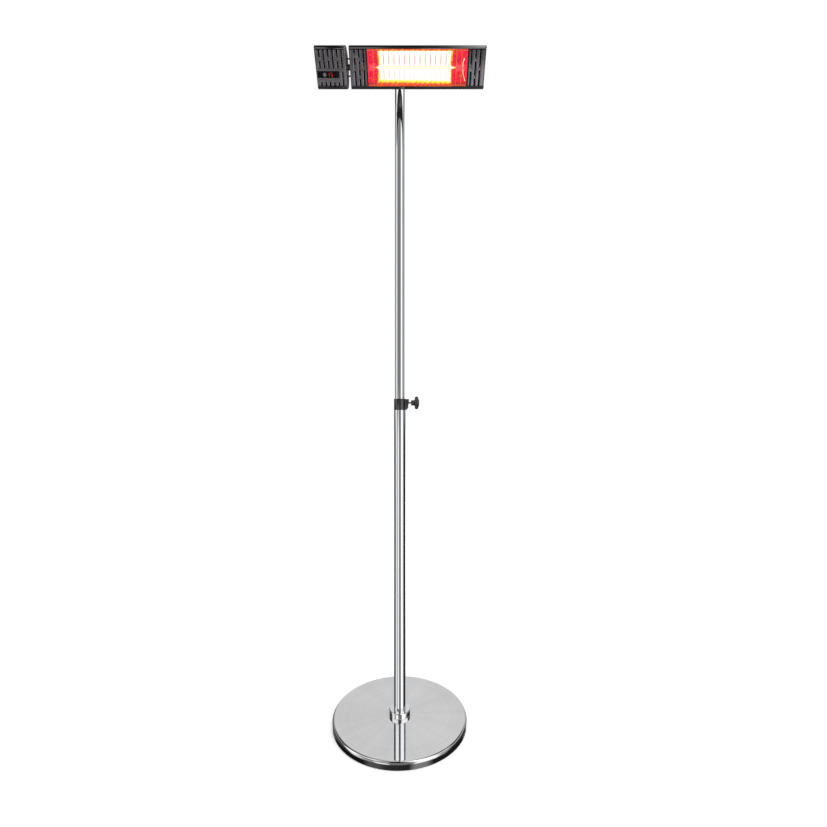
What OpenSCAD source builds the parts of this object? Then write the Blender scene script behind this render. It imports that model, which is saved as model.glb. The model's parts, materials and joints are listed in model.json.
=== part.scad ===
// Freestanding infrared patio heater on a telescopic pole.
// Millimetres. The origin is on the floor under the pole's axis, +Z up, and the heater faces -Y.
// The head's pieces are drawn in a frame of their own: x to the right, y back from the face, z up it.

/* [Base] */
// Diameter of the round base
base_d = 480; // [440:5:560]
// Height of the base's top face above the floor
base_h = 28; // [26:1:40]
// Radius of the base cover's upper edge
base_edge_r = 5; // [3:0.5:8]
// Sheet thickness of the base cover
cover_t = 1.5; // [1:0.1:2]
// Diameter of the polished ring round the pole's foot
collar_d = 76; // [60:1:90]
// Height of that ring
collar_h = 17.5; // [12:0.5:24]

/* [Pole] */
// Outside diameter of the lower tube
lower_d = 42; // [42:1:44]
// Outside diameter of the upper tube
upper_d = 35; // [33:0.5:35]
// Wall of both tubes
tube_t = 1.2; // [1:0.1:1.5]
// Height of the lower tube's top end
lower_top = 1122; // [1000:1:1300]
// Height of the upper tube's top end at full extension
upper_top = 2345; // [2341:1:2345]
// How far the upper tube can slide down
travel = 900; // [600:10:900]

/* [Clamp] */
// Height of the clamp collar above the lower tube
clamp_h = 40; // [36:1:50]
// Diameter of the clamp knob's grip
knob_d = 46; // [40:1:50]

/* [Head] */
// Tilt of the face below the horizontal at rest, in degrees
tilt = 40; // [0:1:60]
// Distance of the tilt pivot in front of the pole's axis
pivot_fwd = 55; // [52:1:60]
// Height of the tilt pivot
pivot_z = 2324; // [2320:1:2328]
// Distance of the pivot behind the face
pivot_back = 105; // [104:1:110]
// Left end of the heater body
head_x0 = -162; // [-170:1:-150]
// Right end of the heater body
head_x1 = 287; // [260:1:300]
// Left end of the control box
box_x0 = -275; // [-280:1:-265]
// Right end of the control box
box_x1 = -174.5; // [-180:0.5:-172]
// Height of the flat face
face_h = 103.5; // [103:0.5:106]
// Depth and height of the chamfers along the face
chamfer = 7.2; // [6.5:0.1:7.4]
// Radius of the rounded back
back_r = 60; // [60:0.5:64]
// Distance of the back's centre line behind the face
back_y = 25; // [22:0.5:26]
// Wall of the aluminium extrusions
wall = 2; // [1.6:0.1:2.4]
// Height of the opening between the extrusion's front lips
mouth_h = 101; // [99:1:101]
// Width of the glowing opening
glow_w = 338; // [320:2:340]
// Thickness of the end caps
cap_t = 3; // [2:0.5:4]

/* [Slots and guard] */
// Width of a ventilation slot
slot_w = 5; // [4:0.25:6]
// Distance from one column of slots to the next
slot_pitch = 14.7; // [13:0.1:15]
// Distance from one guard wire to the next
wire_pitch = 17.2; // [15:0.1:18.5]
// Number of vertical guard wires
wire_count = 18; // [14:1:19]

/* [Hidden] */
$fn = 96;

// Fits
fit = 0.05;        // radial gap of a turning or locating fit
slide_fit = 0.08;  // radial gap of a sliding fit

// Base
base_r = base_d / 2;
mat_t = 3;
plate_t = 2.5;
plate_top = mat_t + plate_t;
cover_under = base_h - cover_t;
weight_r = base_r - 14;
weight_web = 14;
hub_r = 42;
rim_w = 20;
bolt_r = 6;
recess_r = 24;
recess_top = 18;
washer_r = 20;
washer_t = 2.5;
bolt_head_t = 7.5;
bolt_reach = 14;
foot_h = 22;

// Pole
lower_r = lower_d / 2;
lower_in = lower_r - tube_t;
upper_r = upper_d / 2;
upper_in = upper_r - tube_t;
spigot_h = 40;
stop_h = 3;
bush_h = 38;
plug_h = 4;
stop_top = lower_top - spigot_h - 1;
bush_top = stop_top - stop_h;
mast_low = bush_top - bush_h;

// Clamp: heights are above the lower tube's top, reaches are from the pole's axis
screw_z = lower_top + 25.5;
screw_r = 3;
boss_reach = 33.5;
boss_half_w = 9;
insert_r = 6;
insert_x = 24.5;
insert_l = 6.8;
pad_r = 4.5;
pad_gap = 0.4;
knob_start = 40.5;

// Bracket on the mast's top
ear_in = upper_r + 0.1;
ear_t = 3;
ear_out = ear_in + ear_t;
ear_r = 14;
bracket_low = upper_top - 48;
bracket_bolt_z = [upper_top - 37, upper_top - 16];
bracket_bolt_r = 3;
tilt_bolt_r = 4;
lug_half = 15;

// Head
head_h = face_h + 2 * chamfer;
head_mid = (head_x0 + head_x1) / 2;
glow_x0 = head_mid - glow_w / 2;
glow_x1 = head_mid + glow_w / 2;
back = back_y + back_r;
panel_y = 0.5;
panel_t = 2;
panel_gap = 2.2;      // open joint between the panels and the lips above and below them
panel_half = mouth_h / 2 - panel_gap;
flange_t = 1.5;
flange_d = 26;
trough_half = mouth_h / 2 - 0.7;
trough_y = 3;
trough_depth = 47;
trough_t = 1.2;
trough_steps = 24;
trough_x0 = glow_x0 + 3;
trough_x1 = glow_x1 - 3;
lamp_y = 26;
lamp_x0 = head_mid - 140;
lamp_x1 = head_mid + 128;
lamp_r = 5;
pinch_l = 9;
screw_spots = [[14, 53.6], [14, -53.6], [back_y + 39, 38.9], [back_y + 39, -38.9]];
link_spots = [[8, 24], [8, -22.5]];
link_r = 2.2;
duct = [14.5, 1];
duct_r = 9;
duct_hole_r = 6;

// Control box
first_slot = box_x0 + 14.5;
window = [box_x0 + cap_t + 0.3, -26.6, box_x0 + 76, -8.6];
button_at = [-247.5, -18.1];
button_r = 5.9;
board_y = 22;
board_t = 1.6;
post_x = [box_x0 + 14, box_x1 - 14];
post_z = [-30, 30];
post_r = 3;
digit_h = 10.5;
digit_w = 5.8;
stroke = 1.3;
gland_x = -222;
gland_r = 12;
gland_bore_r = 4.8;

// ---- helpers ----

// Puts pieces drawn in the head's frame at their place over the stand
module on_head() {
    translate([0, -pivot_fwd, pivot_z])
        rotate([tilt, 0, 0])
            translate([0, -pivot_back, 0])
                children();
}

// Extrudes an outline drawn in the y-z plane along x, from x0 over a length
module along_x(x0, length) {
    translate([x0, 0, 0])
        rotate([90, 0, 90])
            linear_extrude(length)
                children();
}

// A cylinder along x, centred on a point of the y-z plane
module rod_x(x0, length, r, at = [0, 0], sides = 96) {
    translate([x0, at[0], at[1]])
        rotate([0, 90, 0])
            cylinder(h = length, r = r, $fn = sides);
}

// A ring standing on height z
module ring(z, h, outer, inner) {
    translate([0, 0, z])
        difference() {
            cylinder(h = h, r = outer);
            translate([0, 0, -1])
                cylinder(h = h + 2, r = inner);
        }
}

// A round wire from point a to point b
module wire(a, b, r) {
    v = b - a;
    l = norm(v);
    translate(a)
        rotate([0, acos(v[2] / l), atan2(v[1], v[0])])
            cylinder(h = l, r = r, $fn = 24);
}

// Points of a quarter round, from angle a0 to angle a1
function arc(centre, r, a0, a1, steps = 8) =
    [for (i = [0:steps]) centre + r * [cos(a0 + (a1 - a0) * i / steps), sin(a0 + (a1 - a0) * i / steps)]];

// The section of the extrusions, drawn in from its outer faces by inset
module head_outline(inset = 0) {
    corner = inset * tan(22.5);
    half = head_h / 2 - inset;
    face = face_h / 2 - corner;
    side_y = chamfer + corner;
    intersection() {
        polygon([[inset, -face], [side_y, -half], [back + 1, -half], [back + 1, half], [side_y, half],
            [inset, face]]);
        union() {
            translate([back_y, 0])
                circle(r = back_r - inset);
            translate([-1, -head_h])
                square([back_y + 11, 2 * head_h]);
        }
    }
}

// The extrusion: a wall all round, open between two front lips, with four screw channels
module extrusion(x0, x1) {
    along_x(x0, x1 - x0)
        difference() {
            union() {
                difference() {
                    head_outline();
                    head_outline(wall);
                }
                intersection() {
                    head_outline(wall / 2);
                    for (p = screw_spots)
                        translate(p)
                            circle(r = 3.6, $fn = 48);
                }
            }
            for (p = screw_spots)
                translate(p)
                    circle(r = 1.5, $fn = 32);
            translate([-1, -mouth_h / 2])
                square([wall + 2, mouth_h]);
        }
}

// An end cap, drilled for its screws and, where it faces the other casing, for the links
module end_cap(x0, linked) {
    along_x(x0, cap_t)
        difference() {
            head_outline();
            for (p = screw_spots)
                translate(p)
                    circle(r = 1.6, $fn = 32);
            if (linked) {
                for (p = link_spots)
                    translate(p)
                        circle(r = link_r + fit, $fn = 32);
                translate(duct)
                    circle(r = duct_hole_r, $fn = 48);
            }
        }
}

// A ventilation slot through a front panel, with round ends, from height z0 up to z1
module slot(x, z0, z1) {
    r = slot_w / 2;
    for (z = [z0 + r, z1 - r])
        translate([x, panel_y - 1, z])
            rotate([-90, 0, 0])
                cylinder(h = panel_t + 2, r = r, $fn = 32);
    translate([x - r, panel_y - 1, z0 + r])
        cube([slot_w, panel_t + 2, z1 - z0 - slot_w]);
}

// A slotted panel of the heater body: side is 1 at the right end and -1 at the left end
module panel(side, columns) {
    end = side > 0 ? head_x1 - cap_t : head_x0 + cap_t;
    glow = side > 0 ? glow_x1 : glow_x0;
    x0 = min(end - side * 0.2, glow);
    width = abs(end - glow) - 0.2;
    difference() {
        union() {
            translate([x0, panel_y, -panel_half])
                cube([width, panel_t, 2 * panel_half]);
            translate([side > 0 ? glow : glow - flange_t, panel_y, -panel_half])
                cube([flange_t, flange_d, 2 * panel_half]);
        }
        for (i = [0:len(columns) - 1])
            for (s = columns[i])
                slot(end - side * (14.6 + i * slot_pitch), s[0], s[1]);
        // the flange is cut back to clear the reflector's flanks
        for (m = [-1, 1])
            scale([1, 1, m])
                translate([glow - 5, 8, 34])
                    cube([10, flange_d, 20]);
    }
}

// Depth of the reflector's trough at height z
function trough(z) = trough_y + trough_depth * (1 - pow(z / trough_half, 2));

// Height of the i-th point across the trough
function trough_z(i) = trough_half * (2 * i / trough_steps - 1);

// A hand knob on the x axis: a round hub, a flare and a crowned grip with four lobes
module lobed_knob(x0, hub_l, hub_r, grip_r, grip_t, bore_r, bore_l) {
    lobe_r = grip_r * 0.34;
    x1 = x0 + hub_l;
    difference() {
        union() {
            rod_x(x0, hub_l + 1, hub_r);
            translate([x1 - grip_r * 0.12, 0, 0])
                rotate([0, 90, 0])
                    cylinder(h = grip_r * 0.24, r1 = hub_r, r2 = grip_r * 0.66);
            intersection() {
                union() {
                    rod_x(x1, grip_t, grip_r * 0.7);
                    for (a = [0:90:270])
                        rod_x(x1, grip_t, lobe_r, (grip_r - lobe_r) * [cos(a), sin(a)], 48);
                }
                translate([x1 + grip_t - grip_r * 1.8, 0, 0])
                    sphere(r = grip_r * 1.8);
            }
        }
        rod_x(x0 - 1, bore_l + 1, bore_r);
    }
}

// A cap screw on the x axis: head outside x, shank pointing along dir
module end_screw(x, dir, at) {
    rod_x(dir > 0 ? x - 2.2 : x, 2.2, 3, at, 32);
    rod_x(dir > 0 ? x : x - 12, 12, 1.45, at, 24);
}

// ---- stand ----

module base_mat() {
    color("#202022")
        cylinder(h = mat_t, r = base_r - 3);
}

module base_plate() {
    color("#8c8f93")
        difference() {
            translate([0, 0, mat_t])
                cylinder(h = plate_t, r = base_r - 2.5);
            for (a = [45:90:315])
                rotate(a)
                    translate([weight_r - rim_w / 2, 0, 0])
                        cylinder(h = base_h, r = 2.6, $fn = 32);
        }
}

module plate_screws() {
    color("#b8babd")
        for (a = [45:90:315])
            rotate(a)
                translate([weight_r - rim_w / 2, 0, mat_t])
                    cylinder(h = 11, r = 2.5, $fn = 32);
}

module base_weight() {
    color("#4a4c4e")
        difference() {
            union() {
                translate([0, 0, cover_under - weight_web])
                    cylinder(h = weight_web, r = weight_r);
                translate([0, 0, plate_top])
                    cylinder(h = cover_under - plate_top, r = hub_r);
                ring(plate_top, cover_under - plate_top, weight_r, weight_r - rim_w);
            }
            cylinder(h = base_h, r = bolt_r + 0.5);
            cylinder(h = recess_top, r = recess_r);
            for (a = [45:90:315])
                rotate(a)
                    translate([weight_r - rim_w / 2, 0, 0])
                        cylinder(h = mat_t + 11.5, r = 2.55, $fn = 32);
        }
}

module base_cover() {
    color("#c9cbcd")
        difference() {
            rotate_extrude($fn = 180)
                polygon(concat(
                    [[0, cover_under]],
                    arc([base_r - base_edge_r, base_h - base_edge_r], base_edge_r - cover_t, 90, 0),
                    [[base_r - cover_t, 1.5], [base_r, 1.5]],
                    arc([base_r - base_edge_r, base_h - base_edge_r], base_edge_r, 0, 90),
                    [[0, base_h]]));
            cylinder(h = base_h + 1, r = bolt_r + 0.5);
        }
}

module base_washer() {
    color("#b8babd")
        ring(recess_top - washer_t, washer_t, washer_r, bolt_r + 0.4);
}

module base_bolt() {
    head_top = recess_top - washer_t;
    color("#b8babd") {
        translate([0, 0, head_top - bolt_head_t])
            cylinder(h = bolt_head_t, r = 10.4, $fn = 6);
        translate([0, 0, head_top - 1])
            cylinder(h = base_h + bolt_reach - head_top + 1, r = bolt_r);
    }
}

module tube_foot() {
    color("#8c8f93")
        ring(base_h, foot_h, lower_in - fit, bolt_r + fit);
}

module lower_tube() {
    color("#d5d7d9")
        ring(base_h, lower_top - base_h, lower_r, lower_in);
}

module base_collar() {
    edge = 4;
    outer = collar_d / 2;
    color("#dcdedf")
        translate([0, 0, base_h])
            rotate_extrude($fn = 128)
                polygon(concat(
                    [[lower_r + fit, 0], [outer, 0]],
                    arc([outer - edge, collar_h - edge], edge, 0, 90),
                    [[lower_r + fit, collar_h]]));
}

module clamp_collar() {
    boss_top = clamp_h - 2.5;
    color("#1b1b1d")
        difference() {
            union() {
                translate([0, 0, lower_top])
                    cylinder(h = clamp_h, r = lower_r);
                translate([0, 0, lower_top - spigot_h])
                    cylinder(h = spigot_h, r = lower_in - fit);
                // the boss carries the screw and tapers into the collar below
                translate([0, boss_half_w, lower_top])
                    rotate([90, 0, 0])
                        linear_extrude(2 * boss_half_w)
                            polygon([[upper_r + 1, boss_top + 1.5], [boss_reach - 1.5, boss_top + 1.5],
                                [boss_reach, boss_top], [boss_reach - 3.5, 7], [lower_r + 3.5, 0.3],
                                [upper_r + 1, 0.3]]);
            }
            translate([0, 0, lower_top - spigot_h - 1])
                cylinder(h = spigot_h + clamp_h + 2, r = upper_r + slide_fit);
            rod_x(0, insert_x + 1, pad_r + fit, [0, screw_z]);
            rod_x(insert_x, boss_reach, insert_r, [0, screw_z]);
        }
}

module clamp_insert() {
    color("#b08d4a")
        difference() {
            rod_x(insert_x, insert_l, insert_r, [0, screw_z]);
            rod_x(insert_x - 1, insert_l + 2, screw_r + fit, [0, screw_z]);
        }
}

// ---- clamp screw ----

module clamp_screw() {
    color("#8c8f93")
        rod_x(upper_r + pad_gap + 2.5, knob_start + 12 - upper_r - pad_gap - 2.5, screw_r, [0, screw_z]);
}

module clamp_pad() {
    color("#b08d4a")
        rod_x(upper_r + pad_gap, 2.5, pad_r, [0, screw_z]);
}

module clamp_knob() {
    color("#161617")
        translate([0, 0, screw_z])
            lobed_knob(knob_start, 13, 9.6, knob_d / 2, 16.5, screw_r, 12);
}

// ---- guide and mast ----

module guide_bush() {
    color("#2a2a2c")
        ring(mast_low, bush_h, lower_in - slide_fit, upper_r + fit);
}

module mast_end_plug() {
    color("#2a2a2c") {
        translate([0, 0, mast_low - plug_h])
            cylinder(h = plug_h, r = upper_r + 1);
        translate([0, 0, mast_low - 0.5])
            cylinder(h = 20, r = upper_in - fit);
    }
}

module stop_ring() {
    color("#8c8f93")
        ring(bush_top, stop_h, lower_in - 0.6, upper_r);
}

module upper_tube() {
    color("#d5d7d9")
        difference() {
            ring(mast_low, upper_top - mast_low, upper_r, upper_in);
            for (z = bracket_bolt_z)
                rod_x(-upper_d, 2 * upper_d, bracket_bolt_r + fit, [0, z], 48);
        }
}

module mast_cap() {
    color("#1b1b1d") {
        translate([0, 0, upper_top])
            cylinder(h = 4, r = upper_r);
        translate([0, 0, upper_top - 8])
            cylinder(h = 9, r = upper_in - fit);
    }
}

module bracket_outline() {
    polygon([[-pivot_fwd, pivot_z - ear_r], [-20, bracket_low], [ear_out, bracket_low], [ear_out, upper_top],
        [-20, upper_top], [-pivot_fwd, pivot_z + ear_r]]);
    translate([-pivot_fwd, pivot_z])
        circle(r = ear_r);
}

module tilt_bracket() {
    color("#3a3a3d")
        difference() {
            along_x(-ear_out, 2 * ear_out)
                bracket_outline();
            // the channel between the two ears, closed by the web behind the pole
            translate([-ear_in, -200, bracket_low - 10])
                cube([2 * ear_in, 200 + ear_in, 80]);
            rod_x(-ear_out - 1, 2 * ear_out + 2, tilt_bolt_r + fit, [-pivot_fwd, pivot_z], 48);
            for (z = bracket_bolt_z)
                rod_x(-ear_out - 1, 2 * ear_out + 2, bracket_bolt_r + fit, [0, z], 48);
        }
}

module bracket_bolts() {
    color("#b8babd")
        for (z = bracket_bolt_z) {
            rod_x(-ear_out - 4, 4, 5.7, [0, z], 6);
            rod_x(-ear_out - 1, 2 * ear_out + 8, bracket_bolt_r, [0, z], 48);
        }
}

module bracket_nuts() {
    color("#b8babd")
        for (z = bracket_bolt_z)
            difference() {
                rod_x(ear_out, 5, 5.7, [0, z], 6);
                rod_x(ear_out - 1, 7, bracket_bolt_r + fit, [0, z], 48);
            }
}

module tilt_nut() {
    color("#b8babd")
        difference() {
            rod_x(-ear_out - 6.5, 6.5, 7.5, [-pivot_fwd, pivot_z], 6);
            rod_x(-ear_out - 8, 9, tilt_bolt_r + fit, [-pivot_fwd, pivot_z], 48);
        }
}

// ---- tilt knob ----

module tilt_bolt() {
    color("#8c8f93")
        rod_x(-ear_out - 9, 2 * ear_out + 9 + 10, tilt_bolt_r, [-pivot_fwd, pivot_z]);
}

module tilt_knob() {
    color("#161617")
        translate([0, -pivot_fwd, pivot_z])
            lobed_knob(ear_out + 0.4, 12.5, 8, 17, 13, tilt_bolt_r, 9.6);
}

// ---- heater body ----

module tilt_lug() {
    foot = 4;
    color("#3a3a3d")
        on_head()
            difference() {
                union() {
                    along_x(-lug_half, 2 * lug_half) {
                        translate([pivot_back, 0])
                            circle(r = ear_r);
                        translate([back - 10, -ear_r])
                            square([pivot_back - back + 10, 2 * ear_r]);
                    }
                    along_x(-32, 64)
                        intersection() {
                            translate([back_y, 0])
                                circle(r = back_r + foot);
                            translate([back - 30, -24])
                                square([40, 48]);
                        }
                }
                along_x(-33, 66)
                    translate([back_y, 0])
                        circle(r = back_r);
                rod_x(-lug_half - 1, 2 * lug_half + 2, tilt_bolt_r + fit, [pivot_back, 0], 48);
                lug_holes(back_r - 1, 8, 2.1);
            }
}

// Round pieces that point out of the curved back, two either side of the lug
module lug_holes(from, length, r) {
    for (x = [-24, 24])
        for (a = [-15, 15])
            translate([x, back_y, 0])
                rotate([a, 0, 0])
                    translate([0, from, 0])
                        rotate([-90, 0, 0])
                            cylinder(h = length, r = r, $fn = 32);
}

module lug_screws() {
    color("#b8babd")
        on_head() {
            lug_holes(back_r - 5, 10, 2);
            lug_holes(back_r + 4.2, 2.4, 3.8);
        }
}

module friction_washers() {
    color("#5b4a3a")
        on_head()
            for (x = [-lug_half - 2.4, lug_half])
                difference() {
                    rod_x(x, 2.4, 12, [pivot_back, 0]);
                    rod_x(x - 1, 4.4, tilt_bolt_r + fit, [pivot_back, 0], 48);
                }
}

module head_shell() {
    color("#1e1e20")
        on_head()
            difference() {
                extrusion(head_x0 + cap_t, head_x1 - cap_t);
                lug_holes(back_r - 8, 12, 2.1);
            }
}

module head_end_left() {
    color("#141415")
        on_head()
            end_cap(head_x0, true);
}

module head_end_right() {
    color("#141415")
        on_head()
            end_cap(head_x1 - cap_t, false);
}

module panel_left() {
    color("#4b4a4d")
        on_head()
            panel(-1, [
                [[-51, -7], [6.5, 28], [38.5, 51]],
                [[-51, -28], [-21, 19], [27, 51]],
                [[-51, -4], [4, 51]]]);
}

module panel_right() {
    color("#6c696e")
        on_head()
            panel(1, [
                [[-51, -5.5], [3.5, 51]],
                [[-51, -28], [-20, 18.5], [27, 51]],
                [[-51, -9], [9.5, 51]]]);
}

module reflector() {
    color("#e0a060")
        on_head()
            along_x(trough_x0 + 1.2, trough_x1 - trough_x0 - 2.4)
                polygon(concat(
                    [for (i = [0:trough_steps]) [trough(trough_z(i)), trough_z(i)]],
                    [for (i = [trough_steps:-1:0]) [trough(trough_z(i)) + trough_t, trough_z(i)]]));
}

module reflector_ends() {
    color("#e05048")
        on_head()
            for (x = [trough_x0, trough_x1 - 1.2])
                along_x(x, 1.2)
                    polygon(concat(
                        [for (i = [0:trough_steps]) [trough(trough_z(i)) + trough_t, trough_z(i)]],
                        [[trough_y, trough_half], [trough_y, -trough_half]]));
}

module lamp_tube() {
    color("#ffe9a0")
        on_head() {
            difference() {
                rod_x(lamp_x0, lamp_x1 - lamp_x0, lamp_r, [lamp_y, 0], 48);
                rod_x(lamp_x0 + 3, lamp_x1 - lamp_x0 - 6, lamp_r - 1, [lamp_y, 0], 48);
            }
            for (x = [lamp_x0 - pinch_l, lamp_x1 - 1])
                translate([x, lamp_y - 1.5, -4])
                    cube([pinch_l + 1, 3, 8]);
        }
}

module lamp_filament() {
    color("#fff6d0")
        on_head()
            rod_x(lamp_x0 + 8, lamp_x1 - lamp_x0 - 16, 1.8, [lamp_y, 0], 24);
}

module lamp_holders() {
    left = trough_x0 + 1.2;
    right = trough_x1 - 1.2;
    reach = 6;
    color("#d8d2c4")
        on_head() {
            difference() {
                translate([left, lamp_y - 8, -9])
                    cube([lamp_x0 - pinch_l - left + reach, 16, 18]);
                translate([lamp_x0 - pinch_l, lamp_y - 1.6, -4.1])
                    cube([reach + 1, 3.2, 8.2]);
            }
            difference() {
                translate([lamp_x1 + pinch_l - reach, lamp_y - 8, -9])
                    cube([right - lamp_x1 - pinch_l + reach, 16, 18]);
                translate([lamp_x1 - 1, lamp_y - 1.6, -4.1])
                    cube([pinch_l + 1, 3.2, 8.2]);
            }
        }
}

module lamp_leads() {
    right = trough_x1 - 1.2;
    from = [right - 12, lamp_y - 8.9, 3];
    color("#e8d8b0")
        on_head() {
            wire(from, [right - 8, 10, 26], 0.9);
            wire(from - [0, 0, 6], [right - 4, 10, -36], 0.9);
        }
}

module guard_grille() {
    span = (wire_count - 1) / 2;
    color("#a9a39a")
        on_head() {
            for (k = [-span:span])
                translate([head_mid + k * wire_pitch, 3.8, -trough_half + 0.6])
                    cylinder(h = 2 * trough_half - 1.2, r = 1, $fn = 24);
            for (z = [-trough_half + 3, trough_half - 3])
                rod_x(trough_x0 + 1.3, trough_x1 - trough_x0 - 2.6, 1.2, [4.3, z], 24);
        }
}

module terminal_block() {
    color("#d8d2c4")
        on_head()
            difference() {
                translate([head_x0 + 12, 60, -10])
                    cube([34, 22, 20]);
                for (i = [0:2])
                    translate([head_x0 + 18 + 11 * i, 59, 0])
                        rotate([-90, 0, 0])
                            cylinder(h = 10, r = 2.5, $fn = 32);
            }
}

// ---- link between heater body and control box ----

module link_conduit() {
    color("#111112")
        on_head()
            difference() {
                rod_x(box_x1, head_x0 - box_x1, duct_r, duct);
                rod_x(box_x1 - 1, head_x0 - box_x1 + 2, duct_hole_r, duct);
            }
}

module link_studs() {
    color("#111112")
        on_head()
            for (p = link_spots)
                rod_x(box_x1 - cap_t - 6, head_x0 - box_x1 + 2 * cap_t + 12, link_r, p, 32);
}

module link_nuts() {
    color("#b8babd")
        on_head()
            for (p = link_spots)
                for (x = [box_x1 - cap_t - 3.2, head_x0 + cap_t])
                    difference() {
                        rod_x(x, 3.2, 3.9, p, 6);
                        rod_x(x - 1, 5.2, link_r + fit, p, 32);
                    }
}

// ---- control box ----

module box_shell() {
    color("#29282b")
        on_head()
            difference() {
                extrusion(box_x0 + cap_t, box_x1 - cap_t);
                translate([gland_x, back - 15, 0])
                    rotate([-90, 0, 0])
                        cylinder(h = 20, r = 8 + fit);
            }
}

module box_end_left() {
    color("#29282b")
        on_head()
            end_cap(box_x0, false);
}

module box_end_right() {
    color("#77716c")
        on_head()
            end_cap(box_x1 - cap_t, true);
}

module box_front() {
    upper_long = [[-1.5, 51]];
    upper_split = [[-1.5, 19.5], [27.5, 51]];
    color("#555357")
        on_head()
            difference() {
                translate([box_x0 + cap_t + 0.2, panel_y, -panel_half])
                    cube([box_x1 - box_x0 - 2 * cap_t - 0.4, panel_t, 2 * panel_half]);
                translate([window[0] - 5, panel_y - 1, window[1] - 0.2])
                    cube([window[2] - window[0] + 5.2, panel_t + 2, window[3] - window[1] + 0.4]);
                for (i = [0:4]) {
                    for (s = i % 2 == 0 ? upper_split : upper_long)
                        slot(first_slot + i * slot_pitch, s[0], s[1]);
                    slot(first_slot + i * slot_pitch, -51, -38);
                }
                slot(first_slot + 5 * slot_pitch, -1.5, 51);
                slot(first_slot + 5 * slot_pitch, -51, -9.5);
            }
}

module display_window() {
    color("#060607")
        on_head()
            difference() {
                translate([window[0], 0, window[1]])
                    cube([window[2] - window[0], 2.5, window[3] - window[1]]);
                translate([button_at[0], -1, button_at[1]])
                    rotate([-90, 0, 0])
                        cylinder(h = 5, r = button_r + slide_fit);
            }
}

// One lit stroke of a digit
module bar(x, z, w, h) {
    translate([x, -0.25, z])
        cube([w, 0.25, h]);
}

module display_digits() {
    half = digit_h / 2;
    one = [-237, window[1] + 3.6];
    two = one + [digit_w + 3.4, 0];
    color("#ff2a1a")
        on_head() {
            bar(one[0] + digit_w - stroke, one[1], stroke, digit_h);
            bar(two[0], two[1] + half, stroke, half);
            bar(two[0] + digit_w - stroke, two[1], stroke, half);
            for (z = [0, half - stroke / 2, digit_h - stroke])
                bar(two[0], two[1] + z, digit_w, stroke);
        }
}

module display_module() {
    color("#2b2b2d")
        on_head()
            translate([-240, 3, window[1] + 1])
                cube([26, board_y - 3, window[3] - window[1] - 2]);
}

module circuit_board() {
    color("#1d5a34")
        on_head()
            difference() {
                union() {
                    translate([box_x0 + 9, board_y, -40])
                        cube([box_x1 - box_x0 - 18, board_t, 80]);
                    // the push switch behind the power button
                    translate([button_at[0] - 4, 14, button_at[1] - 4])
                        cube([8, board_y - 14 + 0.5, 8]);
                }
                for (x = post_x)
                    for (z = post_z)
                        translate([x, board_y - 1, z])
                            rotate([-90, 0, 0])
                                cylinder(h = 4, r = post_r - 1.4, $fn = 32);
            }
}

module board_standoffs() {
    color("#b8babd")
        on_head()
            intersection() {
                // the posts end on the inside of the curved back
                rod_x(box_x0, box_x1 - box_x0, back_r - wall, [back_y, 0]);
                for (x = post_x)
                    for (z = post_z)
                        translate([x, board_y + board_t, z])
                            rotate([-90, 0, 0])
                                cylinder(h = back_r, r = post_r, $fn = 32);
            }
}

module relay() {
    color("#2f4f86")
        on_head()
            translate([-215, board_y + board_t, 2])
                cube([22, 18, 16]);
}

module end_screws() {
    color("#3a3a3d")
        on_head()
            for (p = screw_spots) {
                end_screw(box_x0, 1, p);
                end_screw(head_x1, -1, p);
            }
}

module cable_gland() {
    color("#161617")
        on_head()
            difference() {
                translate([gland_x, 0, 0])
                    rotate([-90, 0, 0]) {
                        translate([0, 0, back - 12])
                            cylinder(h = 14, r = 8);
                        translate([0, 0, back - 1.2])
                            cylinder(h = 7.2, r = gland_r, $fn = 6);
                        translate([0, 0, back + 5])
                            cylinder(h = 9, r = 10);
                        translate([0, 0, back + 14])
                            cylinder(h = 5, r1 = 10, r2 = 7);
                    }
                // the seat follows the curved back, and the neck inside it is left whole
                difference() {
                    rod_x(gland_x - 20, 40, back_r, [back_y, 0]);
                    translate([gland_x, 0, 0])
                        rotate([-90, 0, 0])
                            cylinder(h = back + 2, r = 8);
                }
                translate([gland_x, back - 20, 0])
                    rotate([-90, 0, 0])
                        cylinder(h = 50, r = gland_bore_r);
            }
}

module gland_nut() {
    color("#161617")
        on_head()
            difference() {
                translate([gland_x, back - 9, 0])
                    rotate([-90, 0, 0])
                        cylinder(h = 5, r = 11, $fn = 6);
                translate([gland_x, back - 20, 0])
                    rotate([-90, 0, 0])
                        cylinder(h = 30, r = 8);
            }
}

module power_button() {
    color("#8d8d90")
        on_head()
            translate([button_at[0], 0, button_at[1]])
                rotate([-90, 0, 0]) {
                    translate([0, 0, -2])
                        cylinder(h = 6, r = button_r);
                    translate([0, 0, 3.5])
                        cylinder(h = 8.5, r = 2, $fn = 32);
                }
}

base_mat();
base_plate();
plate_screws();
base_weight();
base_cover();
base_washer();
base_bolt();
tube_foot();
lower_tube();
base_collar();
clamp_collar();
clamp_insert();
clamp_screw();
clamp_pad();
clamp_knob();
guide_bush();
mast_end_plug();
stop_ring();
upper_tube();
mast_cap();
tilt_bracket();
bracket_bolts();
bracket_nuts();
tilt_nut();
tilt_bolt();
tilt_knob();
tilt_lug();
lug_screws();
friction_washers();
head_shell();
head_end_left();
head_end_right();
panel_left();
panel_right();
reflector();
reflector_ends();
lamp_tube();
lamp_filament();
lamp_holders();
lamp_leads();
guard_grille();
terminal_block();
link_conduit();
link_studs();
link_nuts();
box_shell();
box_end_left();
box_end_right();
box_front();
display_window();
display_digits();
display_module();
circuit_board();
board_standoffs();
relay();
end_screws();
cable_gland();
gland_nut();
power_button();
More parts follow.
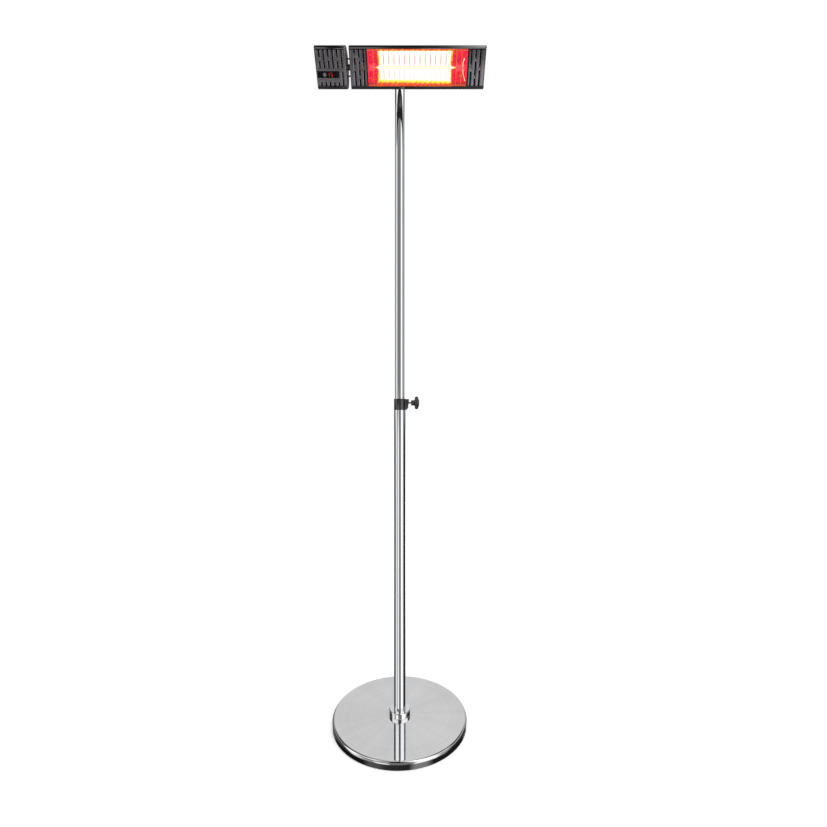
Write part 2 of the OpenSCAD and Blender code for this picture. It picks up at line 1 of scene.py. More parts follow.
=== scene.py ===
"""An infrared patio heater on a telescopic pole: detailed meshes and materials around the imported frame.

Metres throughout. The head's pieces are built in the head's own frame, x to the right, y back from
the face and z up it, and HEAD carries them to their place. Sizes are read from the CAD nodes' boxes.
"""

import json
import math

import bmesh
import bpy
from mathutils import Matrix, Vector

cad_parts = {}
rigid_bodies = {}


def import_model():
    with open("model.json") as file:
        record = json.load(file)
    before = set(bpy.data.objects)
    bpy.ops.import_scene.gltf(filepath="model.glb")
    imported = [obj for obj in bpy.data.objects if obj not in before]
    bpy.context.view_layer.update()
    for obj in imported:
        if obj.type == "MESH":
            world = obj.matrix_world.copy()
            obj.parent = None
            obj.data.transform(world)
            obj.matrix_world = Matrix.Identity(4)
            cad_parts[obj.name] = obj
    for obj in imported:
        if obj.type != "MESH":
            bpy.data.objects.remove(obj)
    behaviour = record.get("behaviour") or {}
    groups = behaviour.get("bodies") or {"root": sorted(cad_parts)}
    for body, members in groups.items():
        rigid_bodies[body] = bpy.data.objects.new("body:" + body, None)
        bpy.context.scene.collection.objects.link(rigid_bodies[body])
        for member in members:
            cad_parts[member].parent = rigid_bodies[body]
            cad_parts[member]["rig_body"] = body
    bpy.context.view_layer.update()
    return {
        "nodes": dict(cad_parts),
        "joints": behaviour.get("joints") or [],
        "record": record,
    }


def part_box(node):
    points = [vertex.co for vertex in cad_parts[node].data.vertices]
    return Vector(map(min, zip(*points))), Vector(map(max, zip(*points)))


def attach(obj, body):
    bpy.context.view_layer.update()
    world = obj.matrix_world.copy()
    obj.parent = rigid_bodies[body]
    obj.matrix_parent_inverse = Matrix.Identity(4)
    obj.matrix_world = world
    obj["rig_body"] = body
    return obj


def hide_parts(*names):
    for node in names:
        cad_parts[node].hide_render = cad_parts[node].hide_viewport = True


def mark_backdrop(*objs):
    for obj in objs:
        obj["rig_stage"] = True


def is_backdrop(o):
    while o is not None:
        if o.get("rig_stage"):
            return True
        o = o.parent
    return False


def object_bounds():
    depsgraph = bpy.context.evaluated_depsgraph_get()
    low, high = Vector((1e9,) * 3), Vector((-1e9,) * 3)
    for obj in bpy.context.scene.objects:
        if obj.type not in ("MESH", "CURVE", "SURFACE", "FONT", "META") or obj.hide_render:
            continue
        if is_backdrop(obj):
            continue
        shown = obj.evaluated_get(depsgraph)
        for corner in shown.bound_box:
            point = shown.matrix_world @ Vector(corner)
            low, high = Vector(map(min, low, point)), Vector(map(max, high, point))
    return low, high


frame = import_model()

MM = 0.001
TURN = 2 * math.pi
JOINTS = {joint["name"]: joint for joint in frame["joints"]}
AXIS_X = Matrix.Rotation(math.radians(90), 4, "Y")  # carries a shape made round z onto x
AXIS_Y = Matrix.Rotation(math.radians(-90), 4, "X")  # carries a shape made round z onto y


def at(x, y, z):
    """The matrix that moves to a place."""
    return Matrix.Translation((x, y, z))


# ---------------------------------------------------------------- the head's own frame

def head_frame():
    """The matrix from the head's frame, with its origin on the face under the tilt pivot, to the row's."""
    pivot = Vector(JOINTS["head_tilt"]["pos_m"])
    back = Vector(JOINTS["power_press"]["axis"]).normalized()
    right = Vector((1, 0, 0))
    turn = Matrix((right, back, right.cross(back))).transposed().to_4x4()
    at_pivot = Matrix.Translation(pivot) @ turn
    inverse = at_pivot.inverted()
    face = min((inverse @ v.co).y for v in frame["nodes"]["head_shell"].data.vertices)
    return at_pivot @ at(0, face, 0)


HEAD = head_frame()
ROW = Matrix.Identity(4)


def head_box(node):
    """(lowest corner, highest corner) of a CAD node in the head's frame."""
    inverse = HEAD.inverted()
    points = [inverse @ v.co for v in frame["nodes"][node].data.vertices]
    low = Vector([min(p[i] for p in points) for i in range(3)])
    high = Vector([max(p[i] for p in points) for i in range(3)])
    return low, high


# ---------------------------------------------------------------- mesh helpers

def finish_mesh(bm, name, smooth_angle=35):
    """Turns a bmesh into a mesh with clean normals, smooth except across sharp edges."""
    bmesh.ops.remove_doubles(bm, verts=bm.verts, dist=1e-7)
    bmesh.ops.recalc_face_normals(bm, faces=bm.faces)
    mesh = bpy.data.meshes.new(name)
    bm.to_mesh(mesh)
    bm.free()
    mesh.polygons.foreach_set("use_smooth", [True] * len(mesh.polygons))
    mesh.set_sharp_from_angle(angle=math.radians(smooth_angle))
    return mesh


def piece(name, mesh, body, look, node, place):
    """Adds a mesh to the scene as a piece that rides on a body and stands for a CAD node."""
    mesh.transform(place)
    obj = bpy.data.objects.new(name, mesh)
    bpy.context.scene.collection.objects.link(obj)
    for material in look if isinstance(look, list) else [look]:
        obj.data.materials.append(material)
    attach(obj, body)
    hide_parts(node)


def circle_ring(radius, z, sides=36):
    """Points of a circle round z at a height."""
    turns = [TURN * i / sides for i in range(sides)]
    return [(radius * math.cos(turn), radius * math.sin(turn), z) for turn in turns]


def ring_surface(bm, rings, close_ends=True):
    """Joins rings of points, each of the same length, into a surface."""
    loops = [[bm.verts.new(p) for p in ring] for ring in rings]
    count = len(loops[0])
    for a, b in zip(loops, loops[1:]):
        for i in range(count):
            j = (i + 1) % count
            bm.faces.new((a[i], a[j], b[j], b[i]))
    if close_ends:
        bm.faces.new(loops[0][::-1])
        bm.faces.new(loops[-1])


def ring_mesh(name, rings, smooth_angle=35):
    """A closed mesh through rings of points, capped at both ends."""
    bm = bmesh.new()
    ring_surface(bm, rings)
    return finish_mesh(bm, name, smooth_angle)


def lathe_mesh(name, profile, segments=96, closed=False, smooth_angle=35):
    """Turns a profile of (radius, height) round z. A closed profile makes a ring-shaped solid."""
    points = list(profile) + ([profile[0]] if closed else [])
    bm = bmesh.new()
    ring_surface(bm, [circle_ring(r, z, segments) for r, z in points], close_ends=not closed)
    return finish_mesh(bm, name, smooth_angle)


def arc(centre, radius, start, end, steps=8):
    """Points of an arc in a plane, from a start angle to an end angle in degrees."""
    points = []
    for i in range(steps + 1):
        angle = math.radians(start + (end - start) * i / steps)
        points.append((centre[0] + radius * math.cos(angle), centre[1] + radius * math.sin(angle)))
    return points


def rounded_rectangle(x0, z0, x1, z1, radius, steps=5):
    """Points of a rectangle with round corners, from its top right corner leftwards."""
    points = []
    for x, z, start in ((x1, z1, 0), (x0, z1, 90), (x0, z0, 180), (x1, z0, 270)):
        centre = (x - radius if x == x1 else x + radius, z - radius if z == z1 else z + radius)
        points += arc(centre, radius, start, start + 90, steps)
    return points


def plate_mesh(name, outlines, thickness, edge, smooth_angle=35, edge_steps=2):
    """A plate in the x-y plane from z = 0 up, with outlines cut as holes and rounded edges."""
    curve = bpy.data.curves.new(name, "CURVE")
    curve.dimensions = "2D"
    curve.fill_mode = "BOTH"
    curve.extrude = thickness / 2 - edge
    curve.bevel_depth = edge
    curve.bevel_resolution = edge_steps
    curve.offset = -edge
    for outline in outlines:
        spline = curve.splines.new("POLY")
        spline.points.add(len(outline) - 1)
        for point, (x, y) in zip(spline.points, outline):
            point.co = (x, y, 0, 1)
        spline.use_cyclic_u = True
    obj = bpy.data.objects.new(name, curve)
    bpy.context.scene.collection.objects.link(obj)
    made = bpy.data.meshes.new_from_object(obj.evaluated_get(bpy.context.evaluated_depsgraph_get()))
    bpy.data.objects.remove(obj)
    bpy.data.curves.remove(curve)
    bm = bmesh.new()
    bm.from_mesh(made)
    bpy.data.meshes.remove(made)
    bmesh.ops.translate(bm, verts=bm.verts, vec=(0, 0, thickness / 2))
    return finish_mesh(bm, name, smooth_angle)


# carries a plate drawn in x-y so that its drawing plane is the head's x-z and its thickness runs back
FACE_ON = Matrix.Rotation(math.radians(90), 4, "X") @ Matrix.Scale(-1, 4, (0, 0, 1))
# carries a plate drawn in x-y so that its drawing plane is y-z and its thickness runs along x
END_ON = Matrix(((0, 0, 1, 0), (1, 0, 0, 0), (0, 1, 0, 0), (0, 0, 0, 1)))


def placed(mesh, matrix):
    """The mesh moved by a matrix, with its faces turned back out if the matrix mirrors it."""
    mesh.transform(matrix)
    if matrix.to_3x3().determinant() < 0:
        mesh.flip_normals()
    return mesh


def joined(name, meshes, smooth_angle=35):
    """One mesh of several closed shells."""
    bm = bmesh.new()
    for mesh in meshes:
        bm.from_mesh(mesh)
        bpy.data.meshes.remove(mesh)
    return finish_mesh(bm, name, smooth_angle)


def united(name, mesh, other, smooth_angle=35):
    """The exact union of two closed meshes."""
    holder = bpy.data.objects.new(name, mesh)
    tool = bpy.data.objects.new(name + "_tool", other)
    for obj in (holder, tool):
        bpy.context.scene.collection.objects.link(obj)
    modifier = holder.modifiers.new("union", "BOOLEAN")
    modifier.operation = "UNION"
    modifier.solver = "EXACT"
    modifier.object = tool
    made = bpy.data.meshes.new_from_object(holder.evaluated_get(bpy.context.evaluated_depsgraph_get()))
    for obj in (holder, tool):
        bpy.data.objects.remove(obj)
    bm = bmesh.new()
    bm.from_mesh(made)
    bpy.data.meshes.remove(made)
    return finish_mesh(bm, name, smooth_angle)


def wire(bm, points, radius, sides=10):
    """A round wire through points, closed at both ends."""
    points = [Vector(p) for p in points]
    side = None
    rings = []
    for i, point in enumerate(points):
        ahead = points[min(i + 1, len(points) - 1)] - points[max(i - 1, 0)]
        ahead.normalize()
        if side is None:
            side = ahead.orthogonal().normalized()
        side = (side - ahead * side.dot(ahead)).normalized()
        other = ahead.cross(side)
        turns = [TURN * k / sides for k in range(sides)]
        rings.append([point + radius * (math.cos(turn) * side + math.sin(turn) * other) for turn in turns])
    ring_surface(bm, rings)


def threaded_rod(bm, radius, length, pitch, depth=0.4 * MM, sides=24):
    """A rod along z with a helical thread, plain and chamfered at its two ends."""
    steps = max(8, int(length / pitch * 8))
    rings = [circle_ring(0.8 * radius, 0, sides)]
    for k in range(1, steps):
        z = length * k / steps
        ring = []
        for i in range(sides):
            phase = (z / pitch + i / sides) % 1
            r = radius - depth * (1 - abs(2 * phase - 1))
            ring.append((r * math.cos(TURN * i / sides), r * math.sin(TURN * i / sides), z))
        rings.append(ring)
    ring_surface(bm, rings + [circle_ring(0.8 * radius, length, sides)])


def softened(node, width):
    """A copy of a CAD node's mesh with its sharp edges rounded to a small radius."""
    bm = bmesh.new()
    bm.from_mesh(frame["nodes"][node].data)
    bmesh.ops.remove_doubles(bm, verts=bm.verts, dist=1e-6)
    bmesh.ops.dissolve_limit(
        bm, angle_limit=math.radians(0.5), verts=bm.verts, edges=bm.edges, delimit={"NORMAL"}
    )
    sharp = [e for e in bm.edges if len(e.link_faces) == 2 and e.calc_face_angle() > math.radians(35)]
    bmesh.ops.bevel(bm, geom=sharp, offset=width, segments=2, profile=0.5, affect="EDGES", clamp_overlap=True)
    return finish_mesh(bm, node + "_soft", 40)


# ---------------------------------------------------------------- material helpers

class Nodes:
    """A node tree under construction, with short calls that add and join nodes."""

    def __init__(self, tree, shader):
        self.tree = tree
        self.shader = tree.nodes[shader]

    def add(self, kind, links=(), **settings):
        """Adds a node, sets its properties or sockets by name, and links sockets into it."""
        node = self.tree.nodes.new(kind)
        for key, value in settings.items():
            name = key.replace("_", " ").title()
            if name in node.inputs:
                node.inputs[name].default_value = value
            else:
                setattr(node, key, value)
        for socket, source in dict(links).items():
            self.tree.links.new(source, node.inputs[socket])
        return node

    def set(self, **values):
        """Sets the shader's own sockets."""
        for key, value in values.items():
            self.shader.inputs[key.replace("_", " ").title().replace("Ior", "IOR")].default_value = value

    def into(self, socket, source):
        """Links a value into one of the shader's own sockets."""
        self.tree.links.new(source, self.shader.inputs[socket])

    def place(self, scale=(1, 1, 1), in_head=False):
        """Object coordinates, in the head's frame if asked, stretched by a scale."""
        coords = self.add("ShaderNodeTexCoord").outputs["Object"]
        if in_head:
            inverse = HEAD.inverted()
            turned = self.add("ShaderNodeMapping", {"Vector": coords})
            turned.inputs["Rotation"].default_value = inverse.to_euler()
            turned.inputs["Location"].default_value = inverse.translation
            coords = turned.outputs["Vector"]
        return self.add("ShaderNodeMapping", {"Vector": coords}, scale=scale).outputs["Vector"]

    def noise(self, where, scale, detail=3.0, roughness=0.55):
        """A soft random value over a place, about 0.5 on average."""
        return self.add("ShaderNodeTexNoise", {"Vector": where}, scale=scale, detail=detail,
                        roughness=roughness).outputs["Fac"]

    def math(self, operation, a, b=0.0):
        """A sum of two values, each a number or a socket."""
        node = self.add("ShaderNodeMath", operation=operation)
        for socket, value in zip(node.inputs, (a, b)):
            if isinstance(value, (int, float)):
                socket.default_value = value
            else:
                self.tree.links.new(value, socket)
        return node.outputs[0]

    def times(self, a, b):
        return self.math("MULTIPLY", a, b)

    def plus(self, a, b):
        return self.math("ADD", a, b)

    def minus(self, a, b):
        return self.math("SUBTRACT", a, b)

    def apart(self, a, b):
        """How far apart two values are."""
        return self.math("ABSOLUTE", self.minus(a, b))

    def length(self, x, y):
        """The length of the flat vector x, y."""
        return self.math("SQRT", self.plus(self.times(x, x), self.times(y, y)))

    def between(self, value, low, high, to_low=0.0, to_high=1.0, smooth=False):
        """Carries a value from the range low..high to the range to_low..to_high, held at its ends."""
        node = self.add("ShaderNodeMapRange", {"Value": value})
        node.interpolation_type = "SMOOTHSTEP" if smooth else "LINEAR"
        for name, number in (("From Min", low), ("From Max", high), ("To Min", to_low), ("To Max", to_high)):
            node.inputs[name].default_value = number
        return node.outputs["Result"]

    def ramp(self, value, stops):
        """A colour ramp of (place, colour) stops."""
        node = self.add("ShaderNodeValToRGB", {"Fac": value})
        elements = node.color_ramp.elements
        elements[0].position, elements[0].color = stops[0][0], (*stops[0][1], 1)
        elements[1].position, elements[1].color = stops[-1][0], (*stops[-1][1], 1)
        for place, colour in stops[1:-1]:
            elements.new(place).color = (*colour, 1)
        return node.outputs["Color"]

    def mix(self, factor, a, b):
        """From colour a at factor 0 to colour b at 1. Each is a colour or a socket."""
        node = self.add("ShaderNodeMix")
        node.data_type = "RGBA"
        for socket, value in ((node.inputs[0], factor), (node.inputs[6], a), (node.inputs[7], b)):
            if isinstance(value, (int, float)):
                socket.default_value = value
            elif isinstance(value, tuple):
                socket.default_value = (*value, 1)
            else:
                self.tree.links.new(value, socket)
        return node.outputs[2]

    def bump(self, height, strength, distance=0.0002):
        """Tilts the surface's normal by a height."""
        node = self.add("ShaderNodeBump", {"Height": height}, strength=strength, distance=distance)
        self.into("Normal", node.outputs["Normal"])

    def axes(self, vector):
        """The x, y and z of a vector."""
        return self.add("ShaderNodeSeparateXYZ", {"Vector": vector}).outputs

    def emit(self, colour, strength):
        """Makes the surface shine with a colour and a strength."""
        self.into("Emission Color", colour)
        self.into("Emission Strength", strength)


class Look(Nodes):
    """A material, by its node tree."""

    def __init__(self, name="look"):
        self.material = bpy.data.materials.new(name)
        self.material.use_nodes = True
        super().__init__(self.material.node_tree, "Principled BSDF")


def coated(dark, light, rough, grain=900, bump=0.15, metallic=0.0, stretch=(1, 1, 1), in_head=False,
           edge=None, **fixed):
    """A painted, moulded or plated finish: two tones, uneven gloss, a fine bump and lighter edges, worn on
    most finishes and a painted highlight on the bronze cap.
    """
    look = Look()
    where = look.place(stretch, in_head)
    broad = look.noise(where, grain * 0.03, 4.0)
    fine = look.noise(where, grain, 2.0)
    colour = look.mix(look.between(broad, 0.35, 0.65), dark, light)
    if edge is not None:
        point = look.add("ShaderNodeNewGeometry").outputs["Pointiness"]
        # lighter edges: wear on most finishes, a painted highlight where the edge colour is light, as on the
        # bronze cap
        wear_and_highlight = look.times(look.between(point, 0.53, 0.6), look.between(broad, 0.3, 0.6, 0.35, 1.0))
        colour = look.mix(wear_and_highlight, colour, edge)
    look.into("Base Color", colour)
    look.into("Roughness", look.between(look.noise(where, grain * 0.1, 3.0), 0.3, 0.7, *rough))
    look.bump(fine, bump)
    look.set(metallic=metallic, **fixed)
    return look.material


def drawn_steel(tone, rough, streak=(900, 900, 2.5)):
    """A polished tube: long faint drawing lines along z in its tone, gloss and surface."""
    look = Look()
    where = look.place(streak)
    lines = look.noise(where, 1.0, 3.0)
    look.into("Base Color", look.mix(look.between(lines, 0.3, 0.7), *tone))
    look.into("Roughness", look.between(look.noise(look.place((60, 60, 1.5)), 1.0, 2.0), 0.3, 0.7, *rough))
    look.bump(lines, 0.05, 0.00005)
    look.set(metallic=1.0)
    return look.material


def spun_steel(tone, rough, rim_z):
    """A disc brushed on a lathe: fine rings round z, faint fans of painted highlight in its colour, and a
    polished rim.
    """
    look = Look()
    x, y, z = look.axes(look.place())
    radius = look.length(x, y)
    rings = look.add("ShaderNodeCombineXYZ", {"X": radius, "Z": z}).outputs["Vector"]
    fine = look.noise(rings, 2600, 4.0)
    broad = look.noise(rings, 160, 3.0)
    turned = look.add("ShaderNodeCombineXYZ", {
        "X": look.math("DIVIDE", x, radius), "Y": look.math("DIVIDE", y, radius),
    }).outputs["Vector"]
    # painted highlight: radial fans of lighter colour, standing in for the sheen a spun finish throws
    painted_fans = look.noise(turned, 3.2, 3.0, 0.6)
    patches = look.noise(look.place(), 9.0, 3.0)
    tone_and_painted_fans = look.plus(look.times(broad, 0.35), look.times(patches, 0.25))
    tone_and_painted_fans = look.plus(tone_and_painted_fans, look.times(painted_fans, 0.4))
    look.into("Base Color", look.mix(look.between(tone_and_painted_fans, 0.4, 0.6), *tone))
    on_top = look.between(z, rim_z - 1 * MM, rim_z)
    brushed = look.between(fine, 0.3, 0.7, *rough)
    look.into("Roughness", look.times(brushed, look.between(on_top, 0.0, 1.0, 0.4, 1.0)))
    look.bump(look.times(fine, on_top), 0.02, 0.00003)
    look.set(metallic=1.0, anisotropic=0.6, anisotropic_rotation=0.25)
    tangent = look.add("ShaderNodeTangent", direction_type="RADIAL", axis="Z")
    look.into("Tangent", tangent.outputs["Tangent"])
    return look.material


def painted_lamp_glow(hot_x, hot_z, strength):
    """Painted lamp light on metal that is no lamp: it shines by emission, white over a box of the head's x
    and z, yellow at its rim, then crimson.
    """
    look = Look()
    x, _, z = look.axes(look.place(in_head=True))
    ragged = look.noise(look.place((1, 1, 0.6), in_head=True), 120, 3.0, 0.75)
    wave = look.math("SINE", look.times(x, TURN / WIRE_PITCH))
    leaning = look.minus(x, look.times(z, 0.025))
    side = look.minus(look.apart(leaning, sum(hot_x) / 2), (hot_x[1] - hot_x[0]) / 2)
    over = look.times(look.minus(z, hot_z[1]), 1.3)
    # the lower edge of the white zone falls a little to the right
    falling = look.minus(hot_z[0], look.times(look.minus(x, hot_x[0]), 0.014))
    under = look.times(look.minus(falling, z), 0.85)
    away = look.math("MAXIMUM", side, look.math("MAXIMUM", over, under))
    away = look.plus(away, look.times(look.minus(ragged, 0.5), 9 * MM))
    away = look.plus(away, look.times(wave, 0.7 * MM))
    glow_falloff = look.between(away, -6 * MM, 5 * MM)
    streaks = look.noise(look.place((1, 1, 0.16), in_head=True), 190, 3.0, 0.65)
    blots = look.noise(look.place(in_head=True), 150, 2.0)
    red = look.mix(look.between(streaks, 0.42, 0.62), (0.86, 0.008, 0.07), (0.98, 0.05, 0.045))
    red = look.mix(look.between(blots, 0.6, 0.72), red, (1.0, 0.17, 0.03))
    red = look.mix(look.between(blots, 0.4, 0.3, 0.0, 0.6), red, (0.6, 0.02, 0.045))
    low = look.between(z, hot_z[0] - 3 * MM, hot_z[0] - 6 * MM)
    painted_orange_glow = look.mix(look.between(streaks, 0.42, 0.6), (0.85, 0.05, 0.02), (1.0, 0.22, 0.02))
    near = look.between(side, 12 * MM, 2 * MM)
    red = look.mix(look.times(low, near), red, painted_orange_glow)
    red = look.mix(look.times(low, look.between(side, 2 * MM, 12 * MM, 0.0, 0.6)), red, (0.25, 0.03, 0.02))
    tinge = look.times(look.between(streaks, 0.5, 0.7), look.between(z, 4 * MM, 16 * MM))
    white = look.mix(look.times(tinge, look.between(z, 40 * MM, 32 * MM)), (1.0, 1.0, 0.97), (1.0, 1.0, 0.62))
    colour = look.ramp(glow_falloff, [
        (0.0, (1.0, 1.0, 0.97)),
        (0.28, (1.0, 1.0, 0.9)),
        (0.42, (1.0, 1.0, 0.08)),
        (0.72, (1.0, 0.85, 0.0)),
        (0.86, (1.0, 0.3, 0.01)),
        (1.0, (0.95, 0.05, 0.03)),
    ])
    colour = look.mix(look.between(glow_falloff, 0.0, 0.3), white, colour)
    colour = look.mix(look.between(glow_falloff, 0.85, 1.0), colour, red)
    look.emit(colour, look.between(glow_falloff, 0.2, 0.9, strength, strength * 0.92))
    look.into("Roughness", look.between(ragged, 0.3, 0.7, 0.22, 0.38))
    look.bump(streaks, 0.1)
    look.set(metallic=1.0, base_color=(0.03, 0.02, 0.02, 1))
    return look.material


def lit_wire(hot_x):
    """The guard in painted lamp light: its wires shine by emission, red over the hot zone's upper half and
    pale below.
    """
    look = Look()
    x, _, z = look.axes(look.place(in_head=True))
    cloud = look.noise(look.place(in_head=True), 240, 2.0)
    reach = 49 * MM
    colour = look.ramp(look.between(z, -reach, reach), [
        (0.0, (0.75, 0.03, 0.02)),
        (0.07, (0.85, 0.06, 0.02)),
        (0.12, (1.0, 0.8, 0.7)),
        (0.45, (1.0, 0.93, 0.85)),
        (0.56, (1.0, 0.9, 0.6)),
        (0.61, (0.8, 0.25, 0.14)),
        (0.66, (0.62, 0.1, 0.05)),
        (0.76, (0.66, 0.12, 0.07)),
        (0.86, (0.9, 0.42, 0.3)),
        (0.9, (1.0, 0.93, 0.85)),
        (0.94, (1.0, 0.9, 0.8)),
        (0.96, (0.85, 0.08, 0.02)),
        (1.0, (0.9, 0.1, 0.02)),
    ])
    lower = look.times(look.between(z, -4 * MM, -9 * MM), look.between(z, -30 * MM, -24 * MM))
    left = look.between(x, hot_x[0] + 100 * MM, hot_x[0] + 40 * MM)
    colour = look.mix(look.times(lower, left), colour, (0.9, 0.4, 0.33))
    side = look.apart(x, sum(hot_x) / 2)
    end = look.between(side, (hot_x[1] - hot_x[0]) / 2 - 1 * MM, (hot_x[1] - hot_x[0]) / 2 + 3 * MM)
    colour = look.mix(end, colour, (0.72, 0.15, 0.05))
    look.emit(colour, look.between(cloud, 0.3, 0.7, 0.85, 1.0))
    look.set(metallic=1.0, base_color=(0.05, 0.04, 0.04, 1), roughness=0.3)
    return look.material


def panel_look(edges):
    """Anodised panels: satin grey with a fine drawn grain, and a greenish band at the given x."""
    look = Look()
    grain = look.noise(look.place((60, 60, 1400), in_head=True), 1.0, 3.0)
    patches = look.noise(look.place(in_head=True), 14, 3.0)
    tone = look.plus(look.times(grain, 0.5), look.times(patches, 0.5))
    colour = look.mix(look.between(tone, 0.35, 0.65), (0.17, 0.157, 0.171), (0.235, 0.219, 0.237))
    x = look.axes(look.place(in_head=True))[0]
    for edge, reach in edges:
        gap = look.apart(x, edge)
        band = look.between(gap, reach, reach * 0.75)
        colour = look.mix(band, colour, (0.07, 0.15, 0.135))
    point = look.add("ShaderNodeNewGeometry").outputs["Pointiness"]
    colour = look.mix(look.between(point, 0.54, 0.62, 0.0, 0.5), colour, (0.4, 0.39, 0.41))
    look.into("Base Color", colour)
    look.into("Roughness", look.between(grain, 0.3, 0.7, 0.2, 0.3))
    look.bump(grain, 0.06, 0.00005)
    look.set(metallic=0.9)
    return look.material


def quartz_look(hot_x, axis_z):
    """The quartz tube: a white core between two yellow lines, tapering off past the hot zone."""
    look = Look()
    x, _, z = look.axes(look.place(in_head=True))
    cloud = look.noise(look.place((1, 1, 1), in_head=True), 300, 3.0)
    off = look.math("DIVIDE", look.apart(z, axis_z), 3.5 * MM)
    past = look.math("MAXIMUM", look.between(x, hot_x[1] - 1 * MM, hot_x[1] + 17 * MM),
                     look.between(x, hot_x[0] + 1 * MM, hot_x[0] - 9 * MM))
    core = look.plus(off, past)
    white, yellow, red = (1.0, 1.0, 0.93), (1.0, 0.84, 0.0), (0.9, 0.02, 0.06)
    colour = look.mix(look.between(core, 0.62, 0.72), white, yellow)
    outside = look.mix(look.between(past, 0.02, 0.1), white, red)
    colour = look.mix(look.between(core, 1.08, 1.18), colour, outside)
    look.emit(colour, look.between(cloud, 0.3, 0.7, 0.95, 1.05))
    look.into("Roughness", look.between(cloud, 0.3, 0.7, 0.03, 0.12))
    look.set(base_color=(0.1, 0.09, 0.08, 1), transmission_weight=0.25, ior=1.46)
    return look.material


def glow_or_painted_glow(colour, strength):
    """A small piece that shines by emission, nearly even, its tone and strength varying at random: a lamp for
    the filament and digits, painted lamp light for the nickel wire and the ceramic holders.
    """
    look = Look()
    cloud = look.noise(look.place(in_head=True), 700, 2.0)
    tone = look.mix(look.between(cloud, 0.3, 0.7), *colour)
    look.emit(tone, look.between(cloud, 0.3, 0.7, strength * 0.9, strength))
    look.set(base_color=(*colour[1], 1), roughness=0.35)
    return look.material


WIRE_PITCH = 17.2 * MM  # between the guard's wires
PANEL_RIGHT, PANEL_LEFT = head_box("panel_right"), head_box("panel_left")
# the zone where the lamp is white hot and the reflector's painted lamp light is white, in the head's frame
HOT_X = (-67 * MM, 175.5 * MM)
HOT_Z = (-36 * MM, 45.6 * MM)

LOOKS = {
    "rubber": coated((0.004, 0.004, 0.0045), (0.009, 0.009, 0.01), (0.55, 0.75), 1400, 0.35),
    "zinc_steel": coated((0.42, 0.43, 0.45), (0.62, 0.63, 0.66), (0.24, 0.42), 1200, 0.08, 1.0,
                         edge=(0.75, 0.76, 0.78)),
    "cast_weight": coated((0.045, 0.045, 0.047), (0.09, 0.09, 0.093), (0.5, 0.72), 700, 0.5, 0.5),
    "spun_steel": spun_steel(((0.745, 0.745, 0.75), (0.83, 0.83, 0.835)), (0.035, 0.06),
                             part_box("base_cover")[1].z - 2 * MM),
    "polished_tube": drawn_steel(((0.80, 0.81, 0.83), (0.88, 0.89, 0.91)), (0.045, 0.085)),
    "polished_ring": drawn_steel(((0.84, 0.84, 0.85), (0.9, 0.9, 0.91)), (0.04, 0.07), (300, 300, 300)),
    "black_plastic": coated((0.004, 0.004, 0.0045), (0.009, 0.009, 0.0095), (0.2, 0.3), 1500, 0.15,
                            edge=(0.02, 0.02, 0.021), ior=1.85),
    "brass": coated((0.55, 0.36, 0.12), (0.70, 0.49, 0.2), (0.2, 0.36), 1100, 0.1, 1.0,
                    edge=(0.85, 0.66, 0.33)),
    "black_steel": coated((0.004, 0.004, 0.0045), (0.01, 0.01, 0.011), (0.3, 0.45), 1300, 0.25,
                          edge=(0.03, 0.03, 0.032)),
    "fibre": coated((0.06, 0.035, 0.02), (0.12, 0.075, 0.045), (0.6, 0.8), 900, 0.4),
    "black_aluminium": coated((0.0015, 0.0015, 0.0018), (0.003, 0.003, 0.0036), (0.08, 0.14), 1.0, 0.03, 0.0,
                              (40, 1500, 1500), True, edge=(0.012, 0.012, 0.013), ior=2.1),
    "grey_panel": panel_look([(PANEL_RIGHT[0].x, 4.2 * MM), (PANEL_LEFT[1].x, 3.6 * MM)]),
    # the reflector and its ends shine by emission: a painted reflection of the lamp's light
    "glowing_reflector": painted_lamp_glow(HOT_X, HOT_Z, 1.05),
    "glowing_end": painted_lamp_glow(HOT_X, HOT_Z, 0.95),
    "quartz": quartz_look(HOT_X, sum(corner.z for corner in head_box("lamp_tube")) / 2),
    "hot_filament": glow_or_painted_glow(((1.0, 0.93, 0.55), (1.0, 1.0, 0.9)), 2.0),
    "ceramic": coated((0.42, 0.13, 0.10), (0.6, 0.2, 0.15), (0.45, 0.65), 1000, 0.3),
    # painted lamp light: the nickel wire shines orange by emission
    "nickel_wire": glow_or_painted_glow(((0.95, 0.5, 0.12), (1.0, 0.8, 0.4)), 0.9),
    # painted lamp light: the guard's wires shine by emission
    "guard_wire": lit_wire(HOT_X),
    # the bronze cap's light edge colour is a painted highlight
    "bronze_cap": coated((0.05, 0.043, 0.036), (0.085, 0.074, 0.064), (0.42, 0.55), 1200, 0.2, 0.6,
                         edge=(0.5, 0.47, 0.43)),
    "black_gloss": coated((0.0012, 0.0012, 0.0012), (0.0025, 0.0025, 0.003), (0.05, 0.1), 500, 0.01,
                          ior=1.22),
    "red_digits": glow_or_painted_glow(((0.7, 0.004, 0.005), (0.95, 0.01, 0.01)), 0.3),
    "board_green": coated((0.003, 0.014, 0.006), (0.005, 0.022, 0.009), (0.3, 0.45), 1500, 0.15),
    "relay_blue": coated((0.02, 0.06, 0.22), (0.03, 0.09, 0.3), (0.3, 0.45), 1500, 0.15),
    "grey_button": coated((0.065, 0.065, 0.068), (0.095, 0.095, 0.1), (0.35, 0.5), 1500, 0.25),
    # painted lamp light: the ceramic holders shine red by emission
    "lit_ceramic": glow_or_painted_glow(((0.8, 0.012, 0.05), (0.95, 0.035, 0.05)), 0.9),
    "dull_metal": coated((0.06, 0.05, 0.045), (0.11, 0.09, 0.08), (0.4, 0.55), 900, 0.1, 1.0),
}
for name, material in LOOKS.items():
    material.name = name
